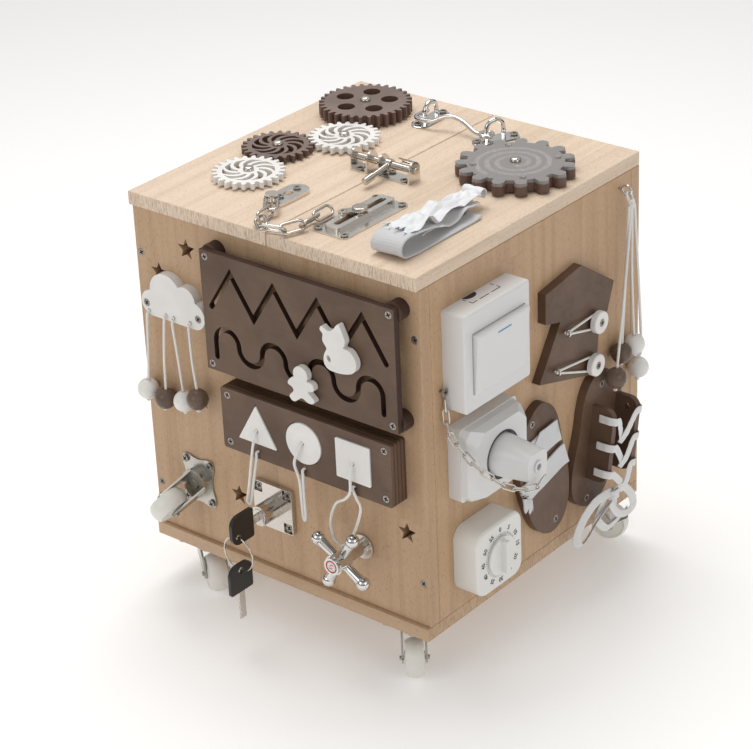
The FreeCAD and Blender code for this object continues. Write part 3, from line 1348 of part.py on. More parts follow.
def meshed_turn(first, second, first_turn, first_teeth, second_teeth):
    """The turn that puts the second gear's gap on the first gear's tooth."""
    heading = math.degrees(math.atan2(second[1] - first[1], second[0] - first[0]))
    first_pitch = 360 / first_teeth
    second_pitch = 360 / second_teeth
    return heading + 180 + second_pitch * (0.5 - (first_turn - heading) / first_pitch)


def dome_bolt(u, v, top):
    """A washer on the board, a shank and a dome head just above what it carries."""
    washer = disc(u, v, 0, 6, 1.2)
    shank = disc(u, v, -11, GEAR_BOLT, top + 11.3)
    head = disc(u, v, top + 0.25, 4.6, 3)
    edge = [e for e in head.Edges if abs(e.CenterOfMass.z - top - 3.25) < 1e-4]
    return washer.fuse([shank, head.makeFillet(2.6, edge)]).removeSplitter()


def build_gears():
    small, big = int(size("gear_teeth")), int(size("large_gear_teeth"))
    turns = {"rear": 4.0}
    turns["brown"] = meshed_turn(GEAR_AXES["rear"], GEAR_AXES["brown"], turns["rear"], small, small)
    turns["large"] = meshed_turn(GEAR_AXES["rear"], GEAR_AXES["large"], turns["rear"], small, big)
    turns["front"] = meshed_turn(GEAR_AXES["brown"], GEAR_AXES["front"], turns["brown"], small, small)
    labels = {"rear": "gear_white_rear", "brown": "gear_brown", "front": "gear_white_front",
              "large": "gear_large"}
    bolts = []
    for name, axis in GEAR_AXES.items():
        shape = large_gear() if name == "large" else spoked_gear()
        stand = face_placement("top", *axis)
        obj = feature(labels[name], shape)
        obj.Placement = Placement(stand.Base, Rotation(Vector(0, 0, 1), turns[name]))
        thick = size("large_gear_thickness") if name == "large" else size("gear_thickness")
        bolts.append(dome_bolt(*axis, size("gear_lift") + thick))
    bolts.append(dome_bolt(*SPIRAL_AXIS, SPIRAL_TOP))
    feature("pivot_bolts", Part.makeCompound(bolts), "top")


SPIRAL_WOOD = 7.5
SPIRAL_COVER = 3.0
SPIRAL_TOP = size("gear_lift") + SPIRAL_WOOD + SPIRAL_COVER
COVER_SCREWS = [polar((0, 0), 35, 46 + 90 * k) for k in range(4)]


def lobed_outline(inset=0.0):
    """Round-ended lobes around a disc."""
    lobes = int(size("spiral_lobes"))
    root = 40.5 - inset
    end = 5.4 - inset
    centre_radius = size("spiral_radius") - 5.4
    side = math.degrees(math.asin(end / root))
    step = 360 / lobes
    rim = []
    for k in range(lobes):
        middle = k * step
        centre = polar((0, 0), centre_radius, middle)
        foot = polar((0, 0), root, middle - side)
        heel = polar((0, 0), root, middle + side)
        low = polar(centre, end, middle - 90)
        high = polar(centre, end, middle + 90)
        rim += [Part.LineSegment(point(*foot), point(*low)),
                Part.Arc(point(*low), point(*polar(centre, end, middle)), point(*high)),
                Part.LineSegment(point(*high), point(*heel)),
                arc((0, 0), root, middle + side, middle + step - side)]
    return rim


def spiral_groove():
    """The outline of a slot that winds outwards, with round ends."""
    turns = [20 * k for k in range(52)]
    half = 2.0

    def radius(turn):
        return 9 + 24 * turn / turns[-1]

    sides = []
    for offset in (-half, half):
        curve = Part.BSplineCurve()
        curve.interpolate([point(*polar((0, 0), radius(t) + offset, t - 40)) for t in turns])
        sides.append(curve)
    caps = []
    for turn, way in ((turns[0], -1), (turns[-1], 1)):
        a = polar((0, 0), radius(turn) - half, turn - 40)
        b = polar((0, 0), radius(turn) + half, turn - 40)
        tip = polar(polar((0, 0), radius(turn), turn - 40), half, turn - 40 + 90 * way)
        caps.append(Part.Arc(point(*a), point(*tip), point(*b)))
    return [*sides, *caps]


def build_spiral():
    lift = size("gear_lift")
    bore = circle(0, 0, GEAR_BOLT + 0.1)
    pilots = [circle(*c, 1.3) for c in COVER_SCREWS]
    lower = slab(SPIRAL_WOOD / 2, lobed_outline(), bore, base=lift)
    upper = slab(SPIRAL_WOOD / 2, lobed_outline(), bore, *pilots, base=lift + SPIRAL_WOOD / 2)
    groove = slab(2.5, spiral_groove(), base=lift + SPIRAL_WOOD - 2.5)
    disc_obj = feature("spiral_disc", Part.makeCompound([lower, upper.cut(groove)]))
    disc_obj.Placement = face_placement("top", *SPIRAL_AXIS)

    cover_base = lift + SPIRAL_WOOD
    cover = slab(SPIRAL_COVER, lobed_outline(0.3), bore, *pilots, base=cover_base)
    screws = []
    for u, v in COVER_SCREWS:
        head = disc(u, v, SPIRAL_TOP, 2.6, 1.2)
        screws.append(head.fuse(disc(u, v, SPIRAL_TOP - 6, 1.2, 6.2)).removeSplitter())
    plate = feature("spiral_cover", Part.makeCompound([cover, *screws]))
    plate.Placement = face_placement("top", *SPIRAL_AXIS)


# ---------------------------------------------------------------- latches on the top
def arch_plate(x, hole, thickness=1.4):
    """A round-topped upright plate across the bolt, with the rod's hole."""
    radius = 7.4
    lift = size("bolt_lift")
    rim = [Part.LineSegment(point(-radius, 0.2), point(radius, 0.2)),
           Part.LineSegment(point(radius, 0.2), point(radius, lift)),
           arc((0, lift), radius, 0, 180),
           Part.LineSegment(point(-radius, lift), point(-radius, 0.2))]
    plate = slab(thickness, rim, circle(0, lift, hole))
    turned = Rotation(Vector(1, 1, 1), 120)
    plate.Placement = Placement(Vector(x, BOLT_Y, 0), turned)
    return plate


def bolt_brackets():
    rod = size("bolt_rod_radius") + 0.1
    screw_rows = (-17, 9, 29)
    tools = [disc(x, BOLT_Y + side * 4.8, -1, size("shank_radius") + 0.1, 5)
             for x in screw_rows for side in (-1, 1)]
    keeper = Part.makeBox(18, 15, 1.2, Vector(-26, BOLT_Y - 7.5, 0))
    keeper = keeper.fuse([arch_plate(-26, rod), arch_plate(-9.4, rod)]).cut(tools).removeSplitter()
    body = Part.makeBox(33.5, 15, 1.2, Vector(2.5, BOLT_Y - 7.5, 0))
    strip = [arc((0, size("bolt_lift")), 7.4, 15, 78), arc((0, size("bolt_lift")), 6.2, 15, 78)]
    for turn in (15, 78):
        near = polar((0, size("bolt_lift")), 6.2, turn)
        far = polar((0, size("bolt_lift")), 7.4, turn)
        strip.append(Part.LineSegment(point(*near), point(*far)))
    guide = slab(16, strip)
    guide.Placement = Placement(Vector(19, BOLT_Y, 0), Rotation(Vector(1, 1, 1), 120))
    body = body.fuse([arch_plate(3, rod), arch_plate(34.6, rod), guide]).cut(tools).removeSplitter()
    return [keeper, body]


SLOT_X = 43.5
SLOT_ENDS = (-116, -54)


def chain_plates():
    anchor_rim = rounded_rectangle(-10.5, -23, 10.5, 23, 10.4)
    plate = slab(3.2, anchor_rim, circle(0, 2.7, 4), screw_hole(0, -7.5), screw_hole(0, 13.5))
    post = disc(0, -17, 3, 3, 6).fuse(disc(0, -17, 8.4, 5.5, 1.8))
    plate = plate.fuse(post).removeSplitter()
    plate.translate(Vector(*ANCHOR, 0))

    u, v = SLOT_PLATE
    base = slab(1.2, rounded_rectangle(u - 17.5, v - 40.5, u + 17.5, v + 40.5, 4),
                *[screw_hole(u + a * 13.5, v + b * 36) for a in (-1, 1) for b in (-1, 1)])
    low, high = SLOT_ENDS
    ridge = slab(5.5, rounded_rectangle(SLOT_X - 7.5, low - 5, SLOT_X + 7.5, high + 5, 3))
    cavity = slab(4.2, rounded_rectangle(SLOT_X - 6.2, low - 2, SLOT_X + 6.2, high + 2, 2), base=0)
    slot = slab(9, rounded_rectangle(SLOT_X - 2.9, low, SLOT_X + 2.9, high, 2.8))
    return [plate, base.fuse(ridge).cut([cavity, slot]).removeSplitter()]


def build_latches():
    feature("latch_plates", Part.makeCompound(bolt_brackets() + chain_plates()), "top")

    lift = size("bolt_lift")
    rod = Part.makeCylinder(size("bolt_rod_radius"), 67, Vector(0, 0, 0), Vector(1, 0, 0))
    ends = [e for e in rod.Edges if e.Length < 25 and abs(e.CenterOfMass.y) < 1e-3]
    rod = rod.makeFillet(0.8, [e for e in ends if e.Closed])
    bolt = feature("bolt_rod", rod)
    bolt.Placement = face_placement("top", -28, BOLT_Y, lift)

    collar = Part.makeCylinder(4.6, 5, Vector(-2.5, 0, 0), Vector(1, 0, 0))
    bar = Part.makeCylinder(2.4, 30, Vector(0, -3.6, 0), Vector(0, -1, -0.14))
    grip = Part.makeCylinder(3.2, 10, Vector(0, -23, -2.7), Vector(0, -1, -0.14))
    bore = Part.makeCylinder(size("bolt_rod_radius") + 0.06, 20, Vector(-10, 0, 0), Vector(1, 0, 0))
    handle = feature("bolt_handle", collar.fuse([bar, grip]).cut(bore).removeSplitter())
    handle.Placement = face_placement("top", 10.5, BOLT_Y, lift)

    front = RIGHT_LEGS[0]
    ring = Part.makeTorus(5.2, size("hook_wire"), Vector(*front, 6.2))
    path = [(26.9, 94.5, 6.2), (22, 94.6, 6.4), (13, 97, 9), (0, 98.5, 13), (-12, 97, 13), (-22, 92.5, 8.5),
            (-33, 91, 7), (-41.5, 94, 7), (-43.6, 102.5, 7), (-41.5, 111, 8)]
    arm = ring.fuse(rod_along(path, size("hook_wire"))).removeSplitter()
    feature("hook_arm", arm, "top")


SHACKLE = (-25, -113)
SHACKLE_HEADING = -51.0
LINK_PITCH = 17.5
LINK_HEADINGS = (-80, -40, 15, 70, 92, 92)
LINK_ROLLS = (-70, 30, -50, 45, -45, 45)


def build_door_chain():
    shackle = oval_link(35, 13, 1.6)
    shackle.rotate(Vector(0, 0, 0), Vector(0, 0, 1), SHACKLE_HEADING)
    shackle.translate(Vector(*SHACKLE, 6.6))
    link = oval_link(24, 11, 1.25)
    joint = polar(SHACKLE, 13.6, SHACKLE_HEADING)
    joints = [Vector(*joint, 5.8)]
    for heading in LINK_HEADINGS:
        joint = polar(joint, LINK_PITCH, heading)
        joints.append(Vector(*joint, 5.8))
    links = chain(joints, link, LINK_ROLLS)
    feature("door_chain", Part.makeCompound([shackle, *links]), "top")

    flange = slab(1.4, rounded_rectangle(-4.8, -4.8, 4.8, 4.8, 2), base=1.9)
    neck = disc(0, 0, 2, 2.5, 6)
    tab = slab(1.5, rounded_rectangle(-4.5, -18, 4.5, 4.5, 4.4),
               circle(0, -13, 2.4), base=6.1)
    tab.rotate(Vector(0, 0, 0), Vector(0, 0, 1), -38)
    button = disc(0, 0, 7.5, 6.5, 2.4)
    edge = [e for e in button.Edges if abs(e.CenterOfMass.z - 9.9) < 1e-4]
    slider = flange.fuse([neck, tab, button.makeFillet(1.2, edge)]).removeSplitter()
    obj = feature("chain_slider", slider)
    obj.Placement = face_placement("top", SLOT_X, -85)


# ---------------------------------------------------------------- the whole cube
build_box()
build_screws()
build_casters()
build_maze()
build_cloud()
build_puzzle()
build_lock()
build_faucet()
build_switch()
build_socket()
build_plug_chain()
build_timer()
build_house()
build_soles()
build_laces()
build_straps()
build_bunch()
build_eyes()
build_spiral()
build_gears()
build_latches()
build_door_chain()
doc.recompute()

for obj in doc.Objects:
    if {"Invalid", "Error"} & set(obj.State):
        raise ValueError(f"{obj.Label} did not recompute: {obj.State}")
for node in NODES:
    if node.Shape.isNull() or not node.Shape.isValid():
        raise ValueError(f"{node.Label} has no sound shape")

os.makedirs("parts", exist_ok=True)
for node in NODES:
    node.Shape.exportStep(f"parts/{node.Label}.step")
print(len(NODES), "sub-parts")
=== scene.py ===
"""The looks of the activity cube: its finishes, and its soft and fine pieces."""

import math
import random

import bmesh
import bpy
from mathutils import Matrix, Vector, noise


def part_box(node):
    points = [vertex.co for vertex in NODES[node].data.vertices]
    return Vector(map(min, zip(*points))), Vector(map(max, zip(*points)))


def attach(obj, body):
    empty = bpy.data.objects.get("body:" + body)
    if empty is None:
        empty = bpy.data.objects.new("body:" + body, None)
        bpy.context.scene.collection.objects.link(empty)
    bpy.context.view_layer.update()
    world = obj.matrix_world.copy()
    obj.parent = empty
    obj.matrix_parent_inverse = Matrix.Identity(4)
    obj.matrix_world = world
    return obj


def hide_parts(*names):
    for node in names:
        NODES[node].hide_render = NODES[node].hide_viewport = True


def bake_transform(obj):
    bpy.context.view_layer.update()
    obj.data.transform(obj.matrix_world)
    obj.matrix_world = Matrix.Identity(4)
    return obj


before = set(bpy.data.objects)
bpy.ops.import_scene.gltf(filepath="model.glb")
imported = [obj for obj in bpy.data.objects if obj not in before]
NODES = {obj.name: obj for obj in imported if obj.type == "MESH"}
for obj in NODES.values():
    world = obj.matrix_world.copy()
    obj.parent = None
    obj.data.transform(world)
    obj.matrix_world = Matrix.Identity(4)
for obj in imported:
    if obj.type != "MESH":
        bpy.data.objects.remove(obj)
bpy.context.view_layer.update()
MM = 0.001
# In mm: the boards' underside, their top, and the faces the front and right fittings stand on.
UP = 45.0
TOP = 370.0
FRONT = -146.0
RIGHT = 150.0


# ---------------------------------------------------------------- material nodes
class Finish:
    """One node material, built step by step in the part's own coordinates."""

    def __init__(self, name, colour, roughness=0.5, metallic=0.0):
        self.mat = bpy.data.materials.new(name)
        self.mat.use_nodes = True
        self.tree = self.mat.node_tree
        self.shader = self.tree.nodes["Principled BSDF"]
        self.shader.inputs["Base Color"].default_value = (*colour, 1)
        self.shader.inputs["Roughness"].default_value = roughness
        self.shader.inputs["Metallic"].default_value = metallic
        self.coords = self.add("ShaderNodeTexCoord").outputs["Object"]
        self.height = None

    def add(self, kind, **settings):
        node = self.tree.nodes.new(kind)
        for key, value in settings.items():
            setattr(node, key, value)
        return node

    def join(self, a, b):
        self.tree.links.new(a, b)

    def math(self, kind, a, b=0.5, c=0.5):
        node = self.add("ShaderNodeMath", operation=kind)
        for socket, value in zip(node.inputs, (a, b, c)):
            if hasattr(value, "is_output"):
                self.join(value, socket)
            else:
                socket.default_value = value
        return node.outputs[0]

    def split(self, vector=None):
        node = self.add("ShaderNodeSeparateXYZ")
        self.join(vector or self.coords, node.inputs[0])
        return node.outputs

    def merge(self, *values):
        node = self.add("ShaderNodeCombineXYZ")
        for value, socket in zip(values, node.inputs):
            self.join(value, socket)
        return node.outputs[0]

    def axes(self, order=(0, 1, 2), scale=(1, 1, 1), vector=None):
        """The coordinates with their axes put in another order and stretched."""
        parts = self.split(vector)
        scaled = [self.math("MULTIPLY", parts[axis], factor) for axis, factor in zip(order, scale)]
        return self.merge(*scaled)

    def noise(self, scale, detail=3.0, vector=None, roughness=0.5, distortion=0.0):
        node = self.add("ShaderNodeTexNoise")
        node.inputs["Scale"].default_value = scale
        node.inputs["Detail"].default_value = detail
        node.inputs["Roughness"].default_value = roughness
        node.inputs["Distortion"].default_value = distortion
        self.join(vector or self.coords, node.inputs["Vector"])
        return node.outputs["Fac"]

    def step(self, value, low, high, to_low=0.0, to_high=1.0):
        node = self.add("ShaderNodeMapRange", interpolation_type="SMOOTHSTEP")
        for key, number in (("From Min", low), ("From Max", high), ("To Min", to_low), ("To Max", to_high)):
            node.inputs[key].default_value = number
        self.join(value, node.inputs["Value"])
        return node.outputs["Result"]

    def mix(self, factor, a, b, kind="MIX"):
        node = self.add("ShaderNodeMix", data_type="RGBA", blend_type=kind)
        slots = {"fac": node.inputs[0], "a": node.inputs[6], "b": node.inputs[7]}
        for key, value in (("fac", factor), ("a", a), ("b", b)):
            if hasattr(value, "is_output"):
                self.join(value, slots[key])
            elif key == "fac":
                slots[key].default_value = value
            else:
                slots[key].default_value = (*value, 1)
        return node.outputs[2]

    def colour(self, socket):
        self.join(socket, self.shader.inputs["Base Color"])
        return self

    def rough(self, socket):
        self.join(socket, self.shader.inputs["Roughness"])
        return self

    def relief(self, value, depth, strength=1.0):
        """Adds a bump on top of any already there."""
        bump = self.add("ShaderNodeBump")
        bump.inputs["Distance"].default_value = depth
        bump.inputs["Strength"].default_value = strength
        self.join(value, bump.inputs["Height"])
        if self.height is not None:
            self.join(self.height, bump.inputs["Normal"])
        self.height = bump.outputs[0]
        self.join(self.height, self.shader.inputs["Normal"])
        return self

    def facing(self, axis):
        """One where the surface looks along this axis, zero elsewhere."""
        normal = self.split(self.add("ShaderNodeTexCoord").outputs["Normal"])
        return self.step(self.math("ABSOLUTE", normal[axis]), 0.6, 0.8)

    def set(self, **inputs):
        for key, value in inputs.items():
            self.shader.inputs[key.replace("_", " ")].default_value = value
        return self


BLOCK_LENGTH = 0.23


def beech(name, along, across, seed, tone, stave=0.042):
    """Staved beech: blocks of slightly different tone, long streaks and short brown flecks."""
    finish = Finish(name, tone, 0.48)
    flat = finish.axes((along, across, 3 - along - across))
    run, side = finish.split(flat)[:2]
    lane = finish.math("DIVIDE", finish.math("ADD", side, 0.5 + 0.011 * seed), stave)
    row = finish.math("FLOOR", lane)
    shift = finish.add("ShaderNodeTexWhiteNoise", noise_dimensions="1D")
    finish.join(finish.math("ADD", row, seed * 7.3), shift.inputs["W"])
    slid = finish.math("ADD", run, finish.math("MULTIPLY", shift.outputs["Value"], 0.4))
    block = finish.math("FLOOR", finish.math("DIVIDE", slid, BLOCK_LENGTH))
    pick = finish.add("ShaderNodeTexWhiteNoise", noise_dimensions="2D")
    finish.join(finish.merge(row, finish.math("ADD", block, seed)), pick.inputs["Vector"])
    tones = pick.outputs["Value"]
    moved = finish.add("ShaderNodeVectorMath", operation="ADD")
    finish.join(flat, moved.inputs[0])
    finish.join(finish.merge(finish.math("MULTIPLY", tones, 3.0)), moved.inputs[1])
    base = moved.outputs[0]
    streaks = finish.noise(1.0, 5, finish.axes(scale=(2.2, 95, 95), vector=base), 0.62, 0.35)
    fibres = finish.noise(1.0, 2, finish.axes(scale=(28, 1500, 1500), vector=base), 0.6)
    flecks = finish.noise(1.0, 1, finish.axes(scale=(260, 1500, 1500), vector=base), 0.4)
    pores = finish.noise(1.0, 3, finish.axes(scale=(40, 1100, 130), vector=base), 0.65, 0.8)
    light = tuple(min(1, c * 1.10) for c in tone)
    dark = tuple(c * share for c, share in zip(tone, (0.82, 0.77, 0.71)))
    brown = tuple(c * share for c, share in zip(tone, (0.50, 0.42, 0.35)))
    plank = finish.mix(finish.step(tones, 0, 1, 0, 0.75), light, tone)
    grain = finish.mix(finish.step(streaks, 0.42, 0.72, 0, 0.55), plank, dark)
    fine = finish.mix(finish.step(fibres, 0.35, 0.75, 0, 0.30), grain, dark)
    flecked = finish.mix(finish.step(flecks, 0.61, 0.69, 0, 0.5), fine, brown)
    edge = finish.math("ABSOLUTE", finish.math("SUBTRACT", finish.math("FRACT", lane), 0.5))
    seamed = finish.mix(finish.step(edge, 0.4935, 0.4985, 0, 0.32), flecked, brown)
    sawn = finish.mix(finish.step(pores, 0.45, 0.66, 0, 0.75), plank, brown)
    finish.colour(finish.mix(finish.facing(along), seamed, sawn))
    finish.rough(finish.step(streaks, 0.3, 0.8, 0.42, 0.56))
    finish.relief(fibres, 0.00012, 0.35)
    finish.relief(flecks, 0.00010, 0.30)
    return finish.set(Specular_IOR_Level=0.35).mat


def painted(name, colour, along, roughness, fleck, edge=None, face=1, plies=0.0):
    """Sprayed paint over plywood: the grain still shows faintly, with dust and small scuffs.

    The sawn edges can have a darker tone, and show the plies as thin lines this far apart. On the maze and
    puzzle boards that tone is near black: painted shade for the walls of their slot and recesses.
    """
    finish = Finish(name, colour, roughness)
    order = (along, (along + 1) % 3, (along + 2) % 3)
    fibres = finish.noise(1.0, 3, finish.axes(order, (18, 520, 520)), 0.6)
    spray = finish.noise(2600, 2)
    cloudy = finish.noise(22, 3)
    dark = tuple(c * (1 - 2.2 * fleck) for c in colour)
    pale = tuple(min(1, c * (1 + fleck) + 0.01) for c in colour)
    tone = finish.mix(finish.step(cloudy, 0.3, 0.7), dark, pale)
    coat = finish.mix(finish.step(fibres, 0.4, 0.75, 0, 0.28), tone, dark)
    if edge:
        sawn = finish.mix(finish.step(cloudy, 0.3, 0.7), edge, tuple(c * 1.3 for c in edge))
        if plies:
            layer = finish.math("FRACT", finish.math("DIVIDE", finish.split()[face], plies))
            sawn = finish.mix(finish.step(layer, 0.62, 0.78), coat, sawn)
        coat = finish.mix(finish.facing(face), sawn, coat)
    finish.colour(coat)
    scuffs = finish.noise(1.0, 4, finish.axes(order, (40, 210, 210)), 0.7)
    finish.rough(finish.step(scuffs, 0.35, 0.75, roughness - 0.07, roughness + 0.13))
    finish.relief(fibres, 0.00016, 0.4)
    finish.relief(spray, 0.00006, 0.35)
    return finish.set(Specular_IOR_Level=0.32).mat


def metal(name, colour, roughness, brushed=0.25, pits=0.2):
    """Plated steel: fine brushing, soft smudges and a few pits."""
    finish = Finish(name, colour, roughness, 1.0)
    lines = finish.noise(1.0, 2, finish.axes(scale=(60, 3200, 3200)), 0.6)
    smudge = finish.noise(70, 4)
    dirt = finish.noise(420, 3)
    finish.rough(finish.math("ADD", finish.step(smudge, 0.3, 0.75, roughness * 0.6, roughness * 1.5),
                             finish.step(lines, 0.3, 0.7, 0, 0.06)))
    dull = tuple(c * 0.72 for c in colour)
    finish.colour(finish.mix(finish.step(dirt, 0.55, 0.8, 0, 0.35), colour, dull))
    finish.relief(lines, 0.00004, brushed)
    finish.relief(dirt, 0.00005, pits)
    return finish.mat


def plastic(name, colour, roughness=0.28, grain=0.15, glow=0.0):
    """Moulded plastic with a barely visible skin, fingerprints and, when glow is given, a little light
    under the surface.
    """
    finish = Finish(name, colour, roughness)
    skin = finish.noise(5200, 1)
    prints = finish.noise(45, 5)
    ripple = finish.noise(60, 2)
    finish.rough(finish.step(prints, 0.2, 0.9, roughness, roughness + 0.03))
    finish.colour(finish.mix(finish.step(prints, 0.2, 0.9), colour, tuple(c * 0.985 for c in colour)))
    finish.relief(skin, 0.00002, grain * 0.4)
    finish.relief(ripple, 0.0001, 0.05)
    finish.set(Coat_Weight=0.15, Coat_Roughness=0.2)
    if glow:
        finish.set(Subsurface_Weight=glow, Subsurface_Scale=0.002)
    return finish.mat


def woven(name, colour, pitch, sheen=0.25, satin=False):
    """Woven tape: warp and weft cross in its own cloth coordinates, darkened as painted shade where the
    weave dips between the threads.
    """
    finish = Finish(name, colour, 0.45 if satin else 0.85)
    cloth = finish.add("ShaderNodeTexCoord").outputs["UV"]
    waves = []
    for direction in ("X", "Y"):
        wave = finish.add("ShaderNodeTexWave", wave_type="BANDS", bands_direction=direction)
        wave.inputs["Scale"].default_value = 0.15708 / pitch
        wave.inputs["Distortion"].default_value = 0.6
        wave.inputs["Detail"].default_value = 1
        finish.join(cloth, wave.inputs["Vector"])
        waves.append(wave.outputs["Fac"])
    weave = waves[1] if satin else finish.math("MULTIPLY", *waves)
    soil = finish.noise(30, 4)
    low = tuple(c * 0.80 for c in colour)
    # Painted shade: darker where the weave dips between threads. The soil below is dirt in patches.
    tone = finish.mix(finish.step(weave, 0.1, 0.9, 0.45, 0), colour, low)
    finish.colour(finish.mix(finish.step(soil, 0.4, 0.8, 0, 0.25), tone, low))
    finish.relief(weave, *((0.00006, 0.4) if satin else (0.00025, 0.7)))
    finish.relief(finish.noise(900, 3), 0.00012, 0.4)
    return finish.set(Sheen_Weight=sheen, Subsurface_Weight=0.08, Subsurface_Scale=0.003).mat


def cord_finish(name, colour):
    """Spun cotton with a little fluff."""
    finish = Finish(name, colour, 0.8)
    fluff = finish.noise(2600, 4)
    shaded = tuple(c * 0.82 for c in colour)
    finish.colour(finish.mix(finish.step(fluff, 0.35, 0.7, 0, 0.5), colour, shaded))
    finish.relief(fluff, 0.0002, 0.6)
    return finish.set(Sheen_Weight=0.3, Subsurface_Weight=0.1, Subsurface_Scale=0.002).mat


def acrylic():
    """Clear sheet over brown paint: greyish, glossy, with fine hairline scratches."""
    finish = Finish("clear_sheet", (0.88, 0.84, 0.82), 0.05)
    hairs = finish.noise(1.0, 2, finish.axes(scale=(80, 1400, 1)), 0.5)
    finish.rough(finish.step(hairs, 0.5, 0.75, 0.02, 0.10))
    finish.relief(finish.noise(14, 2), 0.0006, 0.05)
    return finish.set(Transmission_Weight=0.72, IOR=1.46).mat


BROWN = (0.128, 0.074, 0.046)
WHITE = (0.80, 0.79, 0.77)
PANEL = (0.50, 0.340, 0.212)
MATS = {
    "front": beech("beech_front", 2, 0, 1, PANEL),
    "side": beech("beech_side", 2, 1, 2, (0.50, 0.335, 0.205)),
    "back": beech("beech_back", 2, 0, 5, PANEL),
    # The top boards' beech is lighter and greyer than the panels': painted light where the top light falls
    # on the top face.
    "lit_top_left": beech("beech_top_left", 1, 0, 3, (0.70, 0.565, 0.445), 0.036),
    "lit_top_right": beech("beech_top_right", 1, 0, 9, (0.70, 0.565, 0.44), 0.036),
    "bottom": beech("beech_bottom", 0, 1, 4, (0.52, 0.365, 0.235)),
    "brown": painted("brown_paint", BROWN, 0, 0.44, 0.10),
    # On the maze and puzzle boards the sawn edges, the walls of the slot and the recesses among them, are
    # near black: painted shade in these deep places. The puzzle board's plies are real.
    "brown_maze_slot_shade": painted("brown_paint_maze", BROWN, 0, 0.44, 0.10, (0.040, 0.020, 0.016)),
    "brown_puzzle_recess_shade": painted("brown_paint_puzzle", BROWN, 0, 0.44, 0.10, (0.045, 0.028, 0.020), 1, 0.0042),
    # The gears and spiral disc on the top face have a lighter, greyer copy of the brown paint: painted
    # light where the top light falls. Their sides are darker.
    "brown_lit_top": painted("brown_paint_top", (0.195, 0.145, 0.124), 1, 0.36, 0.08, (0.11, 0.066, 0.052), 2),
    "white": painted("white_paint", WHITE, 0, 0.40, 0.03),
    "bead_brown": painted("bead_brown", (0.15, 0.10, 0.072), 2, 0.30, 0.16),
    "bead_white": painted("bead_white", (0.80, 0.785, 0.76), 2, 0.26, 0.04),
    "zinc": metal("zinc", (0.50, 0.48, 0.44), 0.27),
    "dull_zinc": metal("dull_zinc", (0.44, 0.42, 0.37), 0.34, 0.5),
    "nickel": metal("nickel", (0.62, 0.58, 0.53), 0.19, 0.15),
    "bright_nickel": metal("bright_nickel", (0.74, 0.71, 0.67), 0.17, 0.15),
    "chrome": metal("chrome", (0.70, 0.69, 0.68), 0.07, 0.05, pits=0.05),
    "screw": metal("screw_steel", (0.36, 0.33, 0.30), 0.36, 0.4),
    "plastic": plastic("white_plastic", (0.70, 0.70, 0.70), 0.36),
    "warm_plastic": plastic("timer_plastic", (0.76, 0.755, 0.73), 0.34),
    "nylon": plastic("nylon", (0.76, 0.75, 0.70), 0.35, 0.3, 0.2),
    "black": plastic("black_plastic", (0.008, 0.008, 0.008), 0.30, 0.4),
    "dark": plastic("near_black_painted_shade", (0.02, 0.018, 0.016), 0.6, 0.2),
    # Near black for the screws' cross recesses and the switch housing's notch: painted shade in these
    # hollows.
    "ink": plastic("ink", (0.03, 0.03, 0.035), 0.5, 0.1),
    "blue": plastic("blue_mark", (0.07, 0.26, 0.50), 0.35, 0.1),
    "red": plastic("red_mark", (0.62, 0.03, 0.03), 0.35, 0.1),
    "strap": woven("webbing", (0.62, 0.63, 0.65), 0.0011, 0.3),
    "ribbon": woven("satin_ribbon", (0.80, 0.81, 0.84), 0.0006, 0.5, True),
    "velcro": woven("touch_strip", (0.70, 0.71, 0.73), 0.0009, 0.4),
    "lace": woven("lace", (0.80, 0.80, 0.80), 0.0008, 0.35),
    "cord": cord_finish("cord", (0.80, 0.79, 0.76)),
    "acrylic": acrylic(),
}


# ---------------------------------------------------------------- mesh helpers
def dress(node, key, bevel=0.0):
    """A CAD node shown as it is, with a finish and softened edges."""
    obj = NODES[node]
    obj.data.materials.clear()
    obj.data.materials.append(MATS[key])
    if "custom_normal" in obj.data.attributes:
        obj.data.attributes.remove(obj.data.attributes["custom_normal"])
    for face in obj.data.polygons:
        face.use_smooth = True
    weld = obj.modifiers.new("joined", "WELD")
    weld.merge_threshold = 0.002 * MM
    flat = obj.modifiers.new("flat_faces", "DECIMATE")
    flat.decimate_type = "DISSOLVE"
    flat.angle_limit = math.radians(0.6)
    if bevel:
        soft_bevel(obj, bevel, 2)
    even = obj.modifiers.new("even_normals", "WEIGHTED_NORMAL")
    even.weight = 100
    even.keep_sharp = True


def from_bmesh(name, bm, key, body="cube", angle=38):
    """The finished object of a mesh under construction, on this body, smooth up to this angle."""
    mesh = bpy.data.meshes.new(name)
    bm.to_mesh(mesh)
    bm.free()
    obj = bpy.data.objects.new(name, mesh)
    bpy.context.scene.collection.objects.link(obj)
    for entry in [key] if isinstance(key, str) else key:
        mesh.materials.append(MATS[entry])
    if body:
        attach(obj, body)
    if angle:
        for face in mesh.polygons:
            face.use_smooth = True
        with bpy.context.temp_override(object=obj, active_object=obj, selected_objects=[obj]):
            bpy.ops.object.shade_smooth_by_angle(angle=math.radians(angle))
    return obj


def skin(bm, rings, closed=False):
    """Faces between neighbouring rings of vertices, and from the last ring to the first when closed."""
    for first, second in zip(rings, rings[1:] + (rings[:1] if closed else [])):
        around = len(first)
        for k in range(around):
            n = (k + 1) % around
            bm.faces.new((first[k], second[k], second[n], first[n]))


def turned(bm, centre, outward, profile, around, turn=0.0, sunk=None):
    """Rings of vertices round an axis, from (radius, height) pairs in mm.

    sunk(radius, angle) says how far a place on them is lowered.
    """
    lift = outward.to_track_quat("Z", "Y").to_matrix()
    rings = []
    for radius, height in profile:
        ring = []
        for k in range(around):
            angle = 2 * math.pi * k / around
            depth = sunk(radius, angle) if sunk else 0.0
            across, up = radius * math.cos(angle + turn), radius * math.sin(angle + turn)
            ring.append(bm.verts.new((centre + lift @ Vector((across, up, height - depth))) * MM))
        rings.append(ring)
    return rings


